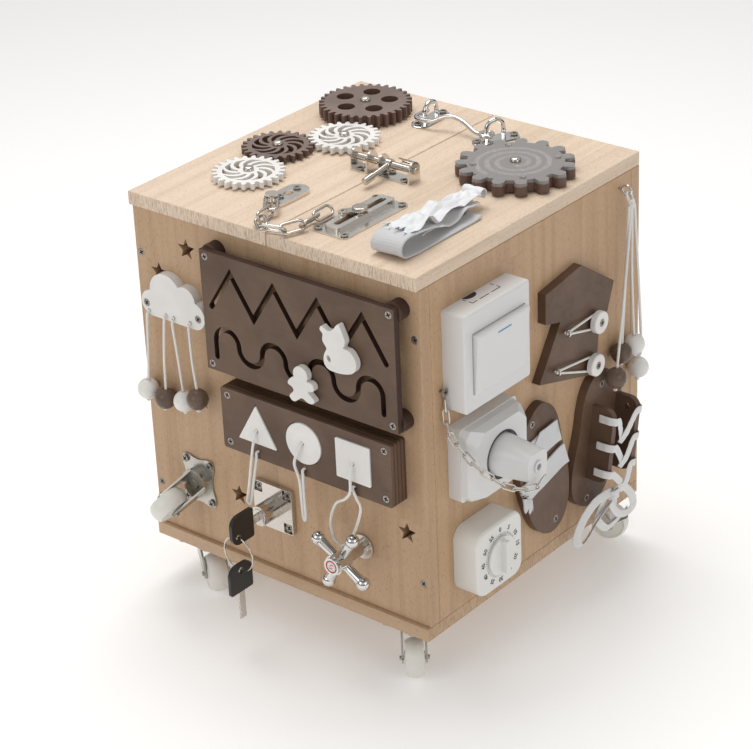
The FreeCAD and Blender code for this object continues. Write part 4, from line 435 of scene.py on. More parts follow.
def smooth_path(points, samples):
    """Evenly spaced points on a Catmull-Rom curve through the given ones, in metres."""
    pts = [Vector(p) * MM for p in points]
    pts = [pts[0] * 2 - pts[1], *pts, pts[-1] * 2 - pts[-2]]
    fine = []
    for i in range(1, len(pts) - 2):
        p0, p1, p2, p3 = pts[i - 1:i + 3]
        for k in range(24):
            t = k / 24
            fine.append(0.5 * (2 * p1 + (p2 - p0) * t + (2 * p0 - 5 * p1 + 4 * p2 - p3) * t * t
                               + (3 * p1 - p0 - 3 * p2 + p3) * t ** 3))
    fine.append(pts[-2])
    lengths = [0.0]
    for a, b in zip(fine, fine[1:]):
        lengths.append(lengths[-1] + (b - a).length)
    out, index = [], 0
    for k in range(samples):
        goal = lengths[-1] * k / (samples - 1)
        while index < len(fine) - 2 and lengths[index + 1] < goal:
            index += 1
        span = lengths[index + 1] - lengths[index] or 1
        out.append(fine[index].lerp(fine[index + 1], (goal - lengths[index]) / span))
    return out, lengths[-1]


START_SIDE = Vector((0.3, 0.2, 0.93))


def frames_along(path, start_side):
    """Every point with its side and up directions, carried along without twisting."""
    frames = []
    side = None
    for i, here in enumerate(path):
        tangent = (path[min(i + 1, len(path) - 1)] - path[max(i - 1, 0)]).normalized()
        if side is None:
            side = start_side - tangent * start_side.dot(tangent)
        else:
            side = side - tangent * side.dot(tangent)
        side.normalize()
        frames.append((here, side.copy(), tangent.cross(side)))
    return frames


def sweep(bm, points, profile, step=0.6, start_side=START_SIDE):
    """Sweep a closed profile, given as a function of arc length in mm, along a smooth path."""
    _, length = smooth_path(points, 60)
    count = max(8, int(length / MM / step))
    path, length = smooth_path(points, count)
    uv = bm.loops.layers.uv.verify()
    rings = []
    for i, (here, side, up) in enumerate(frames_along(path, start_side)):
        travelled = length * i / (count - 1)
        rings.append((travelled, [bm.verts.new(here + side * a * MM + up * b * MM)
                                  for a, b in profile(travelled / MM)]))
    around = len(rings[0][1])
    for (s0, first), (s1, second) in zip(rings, rings[1:]):
        for k in range(around):
            n = (k + 1) % around
            face = bm.faces.new((first[k], first[n], second[n], second[k]))
            for loop, (u, v) in zip(face.loops, ((k, s0), (k + 1, s0), (k + 1, s1), (k, s1))):
                loop[uv].uv = (u / around * CORD_REPEAT, v)
    bm.faces.new(list(reversed(rings[0][1])))
    bm.faces.new(rings[-1][1])


ROPE_SIDES = 18
TAPE_SIDES = 12
CORD_REPEAT = 0.006


def rope_profile(radius, strands=3, lay=5.0):
    """A twisted cord: the strands bulge and wind along it."""
    def profile(s):
        ring = []
        for k in range(ROPE_SIDES):
            a = 2 * math.pi * k / ROPE_SIDES
            bulge = 0.84 + 0.17 * abs(math.cos(strands / 2 * (a - 2 * math.pi * s / lay)))
            ring.append((radius * bulge * math.cos(a), radius * bulge * math.sin(a)))
        return ring
    return profile


def round_profile(radius, sides):
    ring = [(radius * math.cos(2 * math.pi * k / sides), radius * math.sin(2 * math.pi * k / sides))
            for k in range(sides)]
    return lambda s: ring


def full(value):
    """A cosine or sine drawn outwards, so that a flat outline has full edges."""
    return math.copysign(abs(value) ** 0.6, value)


def flat_profile(width, thick, wave=0.0):
    """A flat lace or tape with slightly full edges."""
    angles = [2 * math.pi * k / TAPE_SIDES for k in range(TAPE_SIDES)]
    outline = [(width / 2 * full(math.cos(a)), thick / 2 * full(math.sin(a))) for a in angles]
    return lambda s: [(x, y + wave * math.sin(s * 0.9 + x * 0.6)) for x, y in outline]


CORD_RADIUS = 1.25
CORD_STEP = 0.55


def face_point(face, u, v, w):
    """A point in mm on a face of the cube: across, up, outwards."""
    if face == "front":
        return (u, FRONT - w, UP + v)
    if face == "right":
        return (RIGHT + w, u, UP + v)
    return (u, v, TOP + w)


def place(face, u, v, w):
    """The same place as face_point, in metres."""
    return Vector(face_point(face, u, v, w)) * MM


def cord_along(bm, face, points):
    """A twisted cord through these points (u, v, w in mm) over a face of the cube."""
    sweep(bm, [face_point(face, *p) for p in points], rope_profile(CORD_RADIUS), CORD_STEP)


def loose_parts(node):
    """The separate solids of a CAD node as meshes with their own corners."""
    bm = bmesh.new()
    bm.from_mesh(NODES[node].data)
    bmesh.ops.remove_doubles(bm, verts=bm.verts, dist=1e-6)
    seen, parts = set(), []
    for vert in bm.verts:
        if vert.index in seen:
            continue
        stack, group = [vert], set()
        while stack:
            here = stack.pop()
            if here.index in group:
                continue
            group.add(here.index)
            stack += [e.other_vert(here) for e in here.link_edges]
        seen |= group
        piece = bm.copy()
        piece.verts.ensure_lookup_table()
        bmesh.ops.delete(piece, geom=[v for v in piece.verts if v.index not in group], context="VERTS")
        lowest = Vector(min(v.co[k] for v in piece.verts) for k in range(3))
        highest = Vector(max(v.co[k] for v in piece.verts) for k in range(3))
        parts.append((piece, lowest / MM, highest / MM))
    bm.free()
    return parts


def soft_bevel(obj, width, segments=3):
    edges = obj.modifiers.new("soft_edges", "BEVEL")
    edges.width = width * MM
    edges.segments = segments
    edges.limit_method = "ANGLE"
    edges.angle_limit = math.radians(40)


# ---------------------------------------------------------------- pieces shown as the CAD has them
# Their finish, how far their edges are softened in mm, and their nodes.
CAD_LOOKS = (
    ("front", 0.7, "front_panel"),
    ("back", 0.7, "back_panel"),
    ("side", 0.7, "left_panel right_panel"),
    ("lit_top_left", 0.6, "top_board_left"),
    ("lit_top_right", 0.6, "top_board_right"),
    ("bottom", 0.6, "bottom_board"),
    ("brown_maze_slot_shade", 0.5, "maze_board"),
    ("brown_puzzle_recess_shade", 0.5, "puzzle_board"),
    ("brown", 0.5, "house_board"),
    ("brown", 0.6, "sole_boards"),
    ("brown_lit_top", 0.35, "gear_large gear_brown spiral_disc"),
    ("white", 0.9, "cloud_board"),
    ("white", 0.6, "maze_cat"),
    ("white", 0.5, "maze_child"),
    ("white", 0.4, "elastic_pegs"),
    ("white", 0.35, "gear_white_rear gear_white_front"),
    ("acrylic", 0.3, "spiral_cover"),
    ("zinc", 0.3, "caster_plates"),
    ("nickel", 0.5, "lock_case bolt_handle"),
    ("nickel", 0.4, "faucet_stem bolt_rod lock_key key_ring_set"),
    ("nickel", 0.3, "chain_slider"),
    ("nickel", 0.2, "pivot_bolts"),
    ("bright_nickel", 0.25, "latch_plates"),
    ("chrome", 0.4, "faucet_handle"),
    ("chrome", 0.0, "metal_eyes hook_arm"),
    ("warm_plastic", 0.4, "timer_housing timer_dial"),
)
ROUNDED_PLASTIC = ("switch_housing", "switch_rocker", "socket_housing", "plug")
CASTERS = ("front_panel", "front_left", "front_right", "back_left", "back_right")


def finish_cad():
    for key, bevel, nodes in CAD_LOOKS:
        for node in nodes.split():
            dress(node, key, bevel)
    for node in ROUNDED_PLASTIC:
        mesh = NODES[node].data
        mesh.materials.clear()
        mesh.materials.append(MATS["plastic"])
    for caster in CASTERS:
        dress(f"caster_fork_{caster}", "zinc", 0.3)
        dress(f"caster_wheel_{caster}", "nylon", 0.8)


def paint_faces(node, key, chosen):
    """Gives some faces of a CAD node a second finish, chosen by place (mm) and normal."""
    obj = NODES[node]
    slot = len(obj.data.materials)
    obj.data.materials.append(MATS[key])
    for face in obj.data.polygons:
        if chosen(Vector(face.center) / MM, face.normal):
            face.material_index = slot


# ---------------------------------------------------------------- screws
SCREW_CENTRE = Vector((0, 0, 205))
HEAD_RADII = (0.0, 0.4, 0.65, 0.9, 1.15, 1.4, 1.7, 1.95, 2.2, 2.5, 2.8)
HEAD_SIDES = 48
RECESS_ARM = 2.15
RECESS_WIDTH = 0.52


def cross_recess(distance, angle, arm=RECESS_ARM, width=RECESS_WIDTH):
    """How deep the cross recess is at a place on the head, in mm."""
    x, y = abs(distance * math.cos(angle)), abs(distance * math.sin(angle))
    in_arm = (x < arm and y < width) or (y < arm and x < width)
    return 1.15 * (1 - distance / (arm * 1.35)) + 0.2 if in_arm else 0.0


def screw_head(bm, centre, outward, radius, turn):
    """A flat countersunk head with a cross recess, its top at centre. The recess's faces take the second
    finish, near-black painted shade.
    """
    radii = (*HEAD_RADII, radius - 0.25, radius)
    domes = [0.10 * (1 - (r / radius) ** 2) for r in radii]
    domes[-1] -= 0.22
    grid = turned(bm, centre, outward, list(zip(radii, domes)), HEAD_SIDES, turn, cross_recess)
    grid += turned(bm, centre, outward, [(radius - 1.4, -1.9)], HEAD_SIDES, turn)
    first = len(bm.faces)
    skin(bm, grid)
    bm.faces.ensure_lookup_table()
    # The faces in the recess get the second finish: near-black painted shade.
    for index, reach in enumerate((a + b) / 2 for a, b in zip(radii, radii[1:])):
        for k in range(HEAD_SIDES):
            if cross_recess(reach, 2 * math.pi * (k + 0.5) / HEAD_SIDES, 2.3, 0.6):
                bm.faces[first + index * HEAD_SIDES + k].material_index = 1


def screws():
    rng = random.Random(4)
    bm = bmesh.new()
    for piece, low, high in loose_parts("wood_screws"):
        piece.free()
        middle, span = (low + high) / 2, high - low
        axis = max(range(3), key=lambda k: abs(span[k] - (sum(span) - span[k]) / 2))
        radius = max(span[k] for k in range(3) if k != axis) / 2
        sign = 1 if middle[axis] > SCREW_CENTRE[axis] else -1
        if axis == 2 and middle.z < 60:
            sign = -1
        outward = Vector((0, 0, 0))
        outward[axis] = sign
        top = middle.copy()
        top[axis] = high[axis] if sign > 0 else low[axis]
        screw_head(bm, top, outward, radius, rng.uniform(0, math.pi))
    bmesh.ops.remove_doubles(bm, verts=bm.verts, dist=2e-6)
    heads = from_bmesh("screw_heads", bm, ("screw", "dark"), angle=30)
    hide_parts("wood_screws")


# ---------------------------------------------------------------- beads and cords
BEAD_RADIUS = 9.3
BORE = 1.7


def bead(bm, centre, along):
    """A turned wooden ball, bored through, with the bore's rims softened."""
    start = math.asin((BORE + 0.5) / BEAD_RADIUS)
    rim = [(BORE, BEAD_RADIUS * 0.55), (BORE, BEAD_RADIUS * 0.93), (BORE + 0.2, BEAD_RADIUS * 0.962)]
    ball = [start + (math.pi - 2 * start) * k / 24 for k in range(25)]
    profile = rim + [(BEAD_RADIUS * math.sin(angle), BEAD_RADIUS * math.cos(angle)) for angle in ball]
    profile += [(radius, -height) for radius, height in reversed(rim)]
    skin(bm, turned(bm, centre, along, profile, 40))


def knot(bm, centre, size, seed):
    """A small overhand knot: a lump of cord with strands wound over it."""
    turns = []
    for k in range(26):
        a = 2 * math.pi * k / 13 + seed
        turns.append((centre[0] + size * math.cos(a), centre[1] + size * math.sin(a) * 0.9,
                      centre[2] + size * 0.8 * math.sin(a * 1.5 + seed)))
    sweep(bm, turns, rope_profile(1.05), 0.5)


def hung_bead(cords, beads, centre, along, way, seed):
    """A ball, the cord that comes to it along this way, and the knot under it."""
    bead(beads, centre, along)
    path = [*way, tuple(centre + along * (BEAD_RADIUS - 1)), tuple(centre - along * (BEAD_RADIUS + 0.6))]
    sweep(cords, path, rope_profile(CORD_RADIUS), CORD_STEP)
    knot(cords, centre - along * (BEAD_RADIUS + 0.5), 1.0, seed)


def group_of_beads(prefix, body, node, cords, white, brown):
    """The cords and the two colours of balls of one hanging group, on its body."""
    strings = from_bmesh(f"{prefix}_cords", cords, "cord", body, 60)
    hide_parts(node)
    from_bmesh(f"{prefix}_beads_white", white, "bead_white", body)
    from_bmesh(f"{prefix}_beads_brown", brown, "bead_brown", body)


CLOUD_TOPS = ((-132.5, 223), (-113.3, 223.5), (-104.7, 223.5), (-86, 224))
CLOUD_BALLS = ((-140, 148.2, 10), (-120.4, 144.8, 10), (-98.6, 148.6, 10), (-79, 158, 14))


def pendants():
    """Four balls under the cloud; the cord ends in the board's holes stay with the board."""
    cords, stubs, white, brown = bmesh.new(), bmesh.new(), bmesh.new(), bmesh.new()
    for index, (top, ball) in enumerate(zip(CLOUD_TOPS, CLOUD_BALLS)):
        centre = Vector(face_point("front", *ball))
        hole = Vector(face_point("front", *top, 8))
        bulge = Vector((0.6 * (-1) ** index, -1.6, 0))
        cord_along(stubs, "front", [(*top, 5), (top[0], top[1] - 0.2, 9.2)])
        way = [face_point("front", top[0], top[1] - 0.6, 10.4),
               tuple(hole.lerp(centre, 0.12) + Vector((0, -2.6, 0))), tuple(hole.lerp(centre, 0.5) + bulge)]
        hung_bead(cords, brown if index % 2 else white, centre, (hole - centre).normalized(), way, index)
    group_of_beads("pendant", "pendants", "cloud_pendants", cords, white, brown)
    from_bmesh("pendant_cord_ends", stubs, "cord", "cube", 60)


BUNCH_EYE = (120.4, 302)
BUNCH = (((109.7, 157.2, 10), (112.5, 220, 11.5)), ((89.5, 144.5, 18.5), (106, 215, 15)),
         ((128.9, 157.8, 10), (124, 225, 10.5)), ((135.2, 133, 10), (141.5, 160, 8.5)))

EYE_LOOP = ((-2, 9, 11.5), (-2.9, 4, 10), (0, 1.2, 8.2), (2.9, 4, 10), (2, 9, 11.5))


def bead_bunch():
    """Four balls on long cords, tied together under the eye they hang from."""
    cords, white, brown = bmesh.new(), bmesh.new(), bmesh.new()
    u, v = BUNCH_EYE
    for index, (ball, waypoint) in enumerate(BUNCH):
        centre = Vector(face_point("right", *ball))
        way = [face_point("right", u + 2.2 * (index - 1.5), v - 12, 12 + index % 2),
               face_point("right", *waypoint)]
        along = (Vector(way[1]) - centre).normalized()
        hung_bead(cords, brown if index < 2 else white, centre, along, way, index)
    for k, shift in enumerate((0, 1.3, -1.2)):
        knot(cords, Vector(face_point("right", u + shift * 0.4, v - 10 - shift, 12)), 2.2, k * 1.3)
    loop = [face_point("right", u + a, v - b, w) for a, b, w in EYE_LOOP]
    sweep(cords, loop, rope_profile(1.15), 0.5)
    group_of_beads("bunch", "bead_bunch", "bead_bunch", cords, white, brown)


# Each shape's cord: down from the hole in the piece, then up again to the hole in the board.
PIECES = (
    ("triangle",
     ((-9.9, 151.7, 12), (-9.9, 151.7, 20.3), (-10.6, 142, 23), (-12.4, 130, 24), (-17.3, 103.1, 24),
      (-21, 85, 24)),
     ((-21, 85, 24), (-19.4, 82, 22.6), (-17.6, 88, 22), (-13.7, 108.9, 21.6), (-10.9, 126, 20.4),
      (-10.4, 132, 20), (-10.4, 132, 12))),
    ("circle",
     ((39.2, 155.6, 12), (39.2, 155.6, 20.3), (36, 147, 22.6), (32.8, 136.9, 22.6), (35.2, 126, 21.6),
      (36.2, 118, 21), (36.2, 103, 20.5), (36.6, 88, 20)),
     ((36.6, 88, 20), (37.8, 84.6, 20), (39.3, 88, 20), (39.0, 103, 20), (38.9, 119, 20), (39.4, 127, 20.4),
      (39.4, 132, 20), (39.4, 132, 12))),
    ("square",
     ((91.8, 154, 12), (91.8, 154, 20.3), (91.7, 145, 22.8), (91, 130, 23.2), (82, 119, 19.8),
      (69.4, 109, 16.5), (61.5, 89.3, 15), (64.2, 73.6, 15)),
     ((64.2, 73.6, 15), (74, 70.9, 15), (86.6, 87.4, 16), (96.3, 112.6, 17.5), (94.6, 124.5, 20),
      (91.4, 132.3, 20), (91.4, 132.3, 12))),
)


def wooden_block(name):
    """The wooden part of a puzzle piece: the highest solid that is wide enough and not its cord."""
    block = None
    for piece, lowest, highest in sorted(loose_parts(f"{name}_piece"), key=lambda part: -part[1].z):
        if block is None and highest.y - lowest.y > 11 and lowest.z > UP + 120:
            block = piece
        else:
            piece.free()
    return block


def puzzle_cords():
    for name, falling, rising in PIECES:
        body = from_bmesh(f"{name}_block", wooden_block(name), "white", name, 30)
        soft_bevel(body, 0.7)
        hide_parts(f"{name}_piece")
        bm = bmesh.new()
        cord_along(bm, "front", falling)
        cord = from_bmesh(f"{name}_cord", bm, "cord", None, 60)
        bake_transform(cord)
        bm = bmesh.new()
        cord_along(bm, "front", rising)
        from_bmesh(f"{name}_cord_return", bm, "cord", "cube", 60)


# ---------------------------------------------------------------- chains
WIRE_SIDES = 14


def link_outline(length, width, wire, samples=44):
    """Centre line of an oval chain link lying flat along X, in mm."""
    bend = width / 2 - wire
    half = length / 2 - width / 2
    spots = []
    for k in range(samples):
        a = 2 * math.pi * k / samples
        shift = half if math.cos(a) > 0 else -half
        spots.append(Vector((shift + bend * math.cos(a), bend * math.sin(a), 0)))
    return spots


def add_link(bm, start, end, turn, length, width, wire):
    """A wire link from joint to joint with a small weld seam on one side."""
    along = (end - start).normalized()
    side = Vector((0, 0, 1)).cross(along)
    if side.length < 1e-4:
        side = Vector((0, 1, 0))
    side.normalize()
    up = along.cross(side)
    basis = Matrix((along, side, up)).transposed() @ Matrix.Rotation(math.radians(turn), 3, "X")
    centre = (start + end) / 2
    spots = link_outline(length, width, wire)
    rings = []
    for k, spot in enumerate(spots):
        tangent = (spots[(k + 1) % len(spots)] - spots[k - 1]).normalized()
        out = tangent.cross(Vector((0, 0, 1)))
        thick = wire * (1.12 if abs(spot.x) < wire * 0.6 and spot.y > 0 else 1.0)
        ring = []
        for j in range(WIRE_SIDES):
            a = 2 * math.pi * j / WIRE_SIDES
            offset = spot + out * thick * math.cos(a) + Vector((0, 0, 1)) * thick * math.sin(a)
            ring.append(bm.verts.new((centre + basis @ offset) * MM))
        rings.append(ring)
    skin(bm, rings, closed=True)


def hang_chain(name, node, bm):
    """Makes the chain's links one object on no body, in place, and hides the CAD node."""
    bmesh.ops.recalc_face_normals(bm, faces=bm.faces)
    links = from_bmesh(name, bm, "nickel", None, 50)
    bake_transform(links)
    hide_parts(node)


PLUG_CHAIN = ((-124, 212.5, 3.8), (-124, 203, 4.4), (-124.5, 189.5, 6), (-124.4, 179, 11), (-121, 169, 18),
              (-121.5, 160.5, 30), (-115, 150.5, 41), (-109.5, 143.5, 50), (-98.5, 138, 58), (-88, 137, 64),
              (-80, 144, 66))
PLUG_LINKS = 13


def plug_chain():
    """Small links from the eye above the socket to the plug, turned by a quarter in turn."""
    path, _ = smooth_path([face_point("right", *p) for p in PLUG_CHAIN], PLUG_LINKS + 1)
    joints = [p / MM for p in path]
    bm = bmesh.new()
    for k, (a, b) in enumerate(zip(joints, joints[1:])):
        add_link(bm, a, b, 45 if k % 2 else -45, 14, 6.4, 0.75)
    hang_chain("plug_chain_links", "plug_chain", bm)


SHACKLE = (-25, -113)
SHACKLE_HEADING = -51.0
LINK_PITCH = 17.5
LINK_HEADINGS = (-80, -40, 15, 70, 92, 92)
LINK_ROLLS = (-70, 30, -50, 45, -45, 45)


def polar(centre, radius, angle):
    turn = math.radians(angle)
    return (centre[0] + radius * math.cos(turn), centre[1] + radius * math.sin(turn))


def door_chain():
    """The shackle and the chain's links, each with its own heading and roll."""
    bm = bmesh.new()
    ends = [Vector(face_point("top", *polar(SHACKLE, reach, SHACKLE_HEADING), 6.6)) for reach in (-15, 15)]
    add_link(bm, *ends, 0, 35, 13, 1.6)
    joint = polar(SHACKLE, 13.6, SHACKLE_HEADING)
    joints = [Vector(face_point("top", *joint, 5.8))]
    for heading in LINK_HEADINGS:
        joint = polar(joint, LINK_PITCH, heading)
        joints.append(Vector(face_point("top", *joint, 5.8)))
    for a, b, roll in zip(joints, joints[1:], LINK_ROLLS):
        add_link(bm, a, b, roll, 24, 11, 1.3)
    hang_chain("door_chain_links", "door_chain", bm)


# ---------------------------------------------------------------- laces and elastics
FLAPS = ((67, 91), (102, 88))
FLAP_LEAN = math.radians(10)


def on_flap(side, row, aside, w):
    """A place on a leaning flap of the shoe: along its middle, aside from it and outwards, in mm."""
    y, v = FLAPS[side]
    return (y + aside * math.cos(FLAP_LEAN) + row * math.sin(FLAP_LEAN),
            v - aside * math.sin(FLAP_LEAN) + row * math.cos(FLAP_LEAN), w)


HOUSE_EYES = ((28.8, 209.3), (14.5, 179.8))
PEGS = ((72, 202.5), (67, 165))
ELASTIC_W = 9.6
BOW = (
    ((70, 47, 28), (60, 46, 26), (50, 43, 24), (38, 32, 21), (32, 15, 18), (38, 4, 17), (48, 8, 18),
     (59, 21, 21), (73, 34, 25)),
    ((71, 47, 28), (85, 45, 28), (103, 28, 25), (111, 12, 22), (104, 7, 20), (89, 14, 21), (72, 33, 25)),
    ((69, 44, 24), (65, 30, 20), (64, 18, 17), (79, 2, 16), (95, 4, 17), (108, 9, 18)),
    ((76, 44, 24), (84, 28, 20), (88, 14, 16.5), (92, 3, 15)),
)
# A lace over a flap's edge: (back along the flap, outwards over its edge, height).
FLAP_CROSSING = ((0, 4.2, 17), (0, 4.6, 22), (0, 4.4, 28), (-0.5, 1, 32.2), (-2, -5, 31.4))
# Each flap, the side its lace comes from, and the lace's last two places over the gap.
LACE_ENDS = ((0, -1, ((-3, 3, 29), (2, -5, 26))), (1, 1, ((3, 2, 30.5), (-3, -6, 27.5))))
LACE_TIP = ((91, 3, 15.2), (97, 1, 15.4), (104, -0.5, 15.5), (111, -2, 15.5))


BOW_SIDES = (Vector((0.45, 0.3, -0.85)), Vector((0.45, 0.35, 0.85)), Vector((0.2, 0.95, 0.1)),
             Vector((0.2, 0.95, -0.1)))


def tape_along(bm, points, profile, side):
    """A flat tape through these points of the right face, starting with its width along side."""
    sweep(bm, [face_point("right", *p) for p in points], profile, 0.8, start_side=side)


def crossed_laces(bm):
    """Three rows of lace that come through the flaps and meet in a V over the gap between them."""
    middle = (FLAPS[0][0] + FLAPS[1][0]) / 2
    for row in (-24, 0, 24):
        low = on_flap(0, row, 0, 0)[1] - 20
        for side, aside, ends in LACE_ENDS:
            over = [on_flap(side, row + back, aside * out, w) for back, out, w in FLAP_CROSSING]
            over += [(middle + u, low + v, w) for u, v, w in ends]
            tape_along(bm, over, flat_profile(7.0, 1.1, 0.10), Vector((0, 0.17, 0.98)))


def bow_wrap(bm):
    """Two turns of lace around the middle of the bow."""
    for shift in (-1.4, 1.6):
        wrap = []
        for k in range(11):
            a = 2 * math.pi * k / 10
            wrap.append((72 + 4.8 * math.cos(a), 43 + 2.0 * math.sin(a) + shift, 27 + 5.2 * math.sin(a)))
        tape_along(bm, wrap, flat_profile(5.0, 1.4, 0.15), Vector((0, 0.2, 1)))


def laces():
    bm = bmesh.new()
    crossed_laces(bm)
    for path, side in zip(BOW, BOW_SIDES):
        tape_along(bm, path, flat_profile(7.4, 1.1, 0.12), side)
    bow_wrap(bm)
    cloth = from_bmesh("shoe_lace", bm, "lace", "cube", 50)
    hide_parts("laces_and_elastics")

    bm = bmesh.new()
    tape_along(bm, LACE_TIP, flat_profile(4.2, 2.2), Vector((0.3, 0.1, 0.95)))
    from_bmesh("lace_tip", bm, "black", "cube")



def elastics():
    """A loop of elastic from each eye on the house around its peg."""
    bm = bmesh.new()
    for eye, peg in zip(HOUSE_EYES, PEGS):
        heading = math.degrees(math.atan2(peg[1] - eye[1], peg[0] - eye[0]))
        around = [(*polar(peg, 6.6, heading + turn), ELASTIC_W) for turn in (-100, -60, -20, 20, 60, 100)]
        start = [(*polar(eye, 1.2, heading + 180), 12.2), (*polar(eye, 4, heading - 18), 12.2)]
        end = [(*polar(eye, 4, heading + 18), 12.2), (*polar(eye, 1.2, heading + 180), 12.6)]
        path = [face_point("right", *p) for p in (*start, *around, *end)]
        sweep(bm, path, rope_profile(1.0, 4, 3.0), 0.5)
    from_bmesh("elastics", bm, "cord", "cube", 60)


# ---------------------------------------------------------------- straps
def sheet(name, shape, columns, rows, thick, key, keep=None):
    """A cloth sheet: shape(s, t) gives a point in mm for s along and t across, both 0 to 1."""
    bm = bmesh.new()
    uv = bm.loops.layers.uv.verify()
    grid = [[bm.verts.new(Vector(shape(i / columns, j / rows)) * MM) for j in range(rows + 1)]
            for i in range(columns + 1)]
    lengths = [0.0]
    for a, b in zip(grid, grid[1:]):
        lengths.append(lengths[-1] + (b[rows // 2].co - a[rows // 2].co).length)
    width = sum((b.co - a.co).length for a, b in zip(grid[0], grid[0][1:]))
    for i in range(columns):
        for j in range(rows):
            if keep and not keep((i + 0.5) / columns, (j + 0.5) / rows):
                continue
            face = bm.faces.new((grid[i][j], grid[i + 1][j], grid[i + 1][j + 1], grid[i][j + 1]))
            corners = ((i, j), (i + 1, j), (i + 1, j + 1), (i, j + 1))
            for loop, (a, b) in zip(face.loops, corners):
                loop[uv].uv = (b / rows * width, lengths[a])
    bmesh.ops.delete(bm, geom=[v for v in bm.verts if not v.link_faces], context="VERTS")
    obj = from_bmesh(name, bm, key, "cube", 60)
    thickness = obj.modifiers.new("thickness", "SOLIDIFY")
    thickness.thickness = thick * MM
    thickness.offset = 0
    return obj


def wrinkle(x, y, z, scale, size):
    return noise.noise(Vector((x, y, z)) * scale) * size


def touch_strips():
    """Two strips laid over the inner sole, the upper with a second layer, the lower with a frayed end."""
    def quad(corners, lift, curl=0.0, seed=0.0):
        a, b, c, d = corners

        def spread(s, t):
            u = (a[0] * (1 - s) + b[0] * s) * (1 - t) + (d[0] * (1 - s) + c[0] * s) * t
            v = (a[1] * (1 - s) + b[1] * s) * (1 - t) + (d[1] * (1 - s) + c[1] * s) * t
            w = lift + wrinkle(u, v, seed, 0.07, 0.5) + curl * max(0, s - 0.82) ** 2 * 60
            w -= max(0, 0.14 - s) ** 2 * 150 * (1 if curl else 0)
            return face_point("right", u, v, w)
        return spread

    lower_edge = random.Random(11)
    teeth = [lower_edge.uniform(0, 0.05) for _ in range(24)]

    def frayed(s, t):
        return s > teeth[int(t * 24)] * (1.6 if t > 0.4 else 0.6)

    upper = ((-31.5, 127.4), (15.2, 134.4), (21.4, 114.0), (-26, 106))
    second = ((-32.5, 109), (-9, 134), (15, 135.4), (17, 124))
    lower = ((-35, 91.6), (23.8, 109.2), (31.2, 88.9), (-27, 74.6))
    strips = sheet("touch_strip_upper", quad(upper, 9.2, 0.6, 1.0), 40, 16, 1.3, "velcro")
    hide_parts("fabric_straps")
    sheet("touch_strip_fold", quad(second, 10.7, 0.0, 3.0), 30, 12, 0.9, "velcro")
    sheet("touch_strip_lower", quad(lower, 9.4, 0.8, 2.0), 60, 24, 1.4, "velcro", frayed)

    def flap(s, t):
        u = -33 + 13 * t - 2 * s
        v = 82 - 12 * t * 0.55 - 13 * s
        return face_point("right", u, v, 9.6 + 2.2 * math.sin(s * 2.2) + wrinkle(u, v, 5.0, 0.15, 1.2))

    sheet("touch_strip_tail", flap, 20, 16, 0.8, "velcro",
          lambda s, t: s < 0.55 + 0.4 * abs(math.sin(t * 7)))


STRAP_START = (110.5, -34.0)
STRAP_WIDTH = 30
STRAP_STEPS = 120
OVER_STRAP = 3.4
STRAP_PROFILE = ((0, 1.3), (-35, 1.3), (-70, 1.3), (-86, 1.5), (-95, 2.6), (-99.4, 6), (-99.6, 11),
                 (-95.4, 15.6), (-87, 17.2), (-72, 15.8), (-52, 12))


def strap_point(run, across, height):
    """A point over the top board: run along the strap, across it to the left, above the board, in mm."""
    return face_point("top", STRAP_START[0] - across, STRAP_START[1] + run, height)


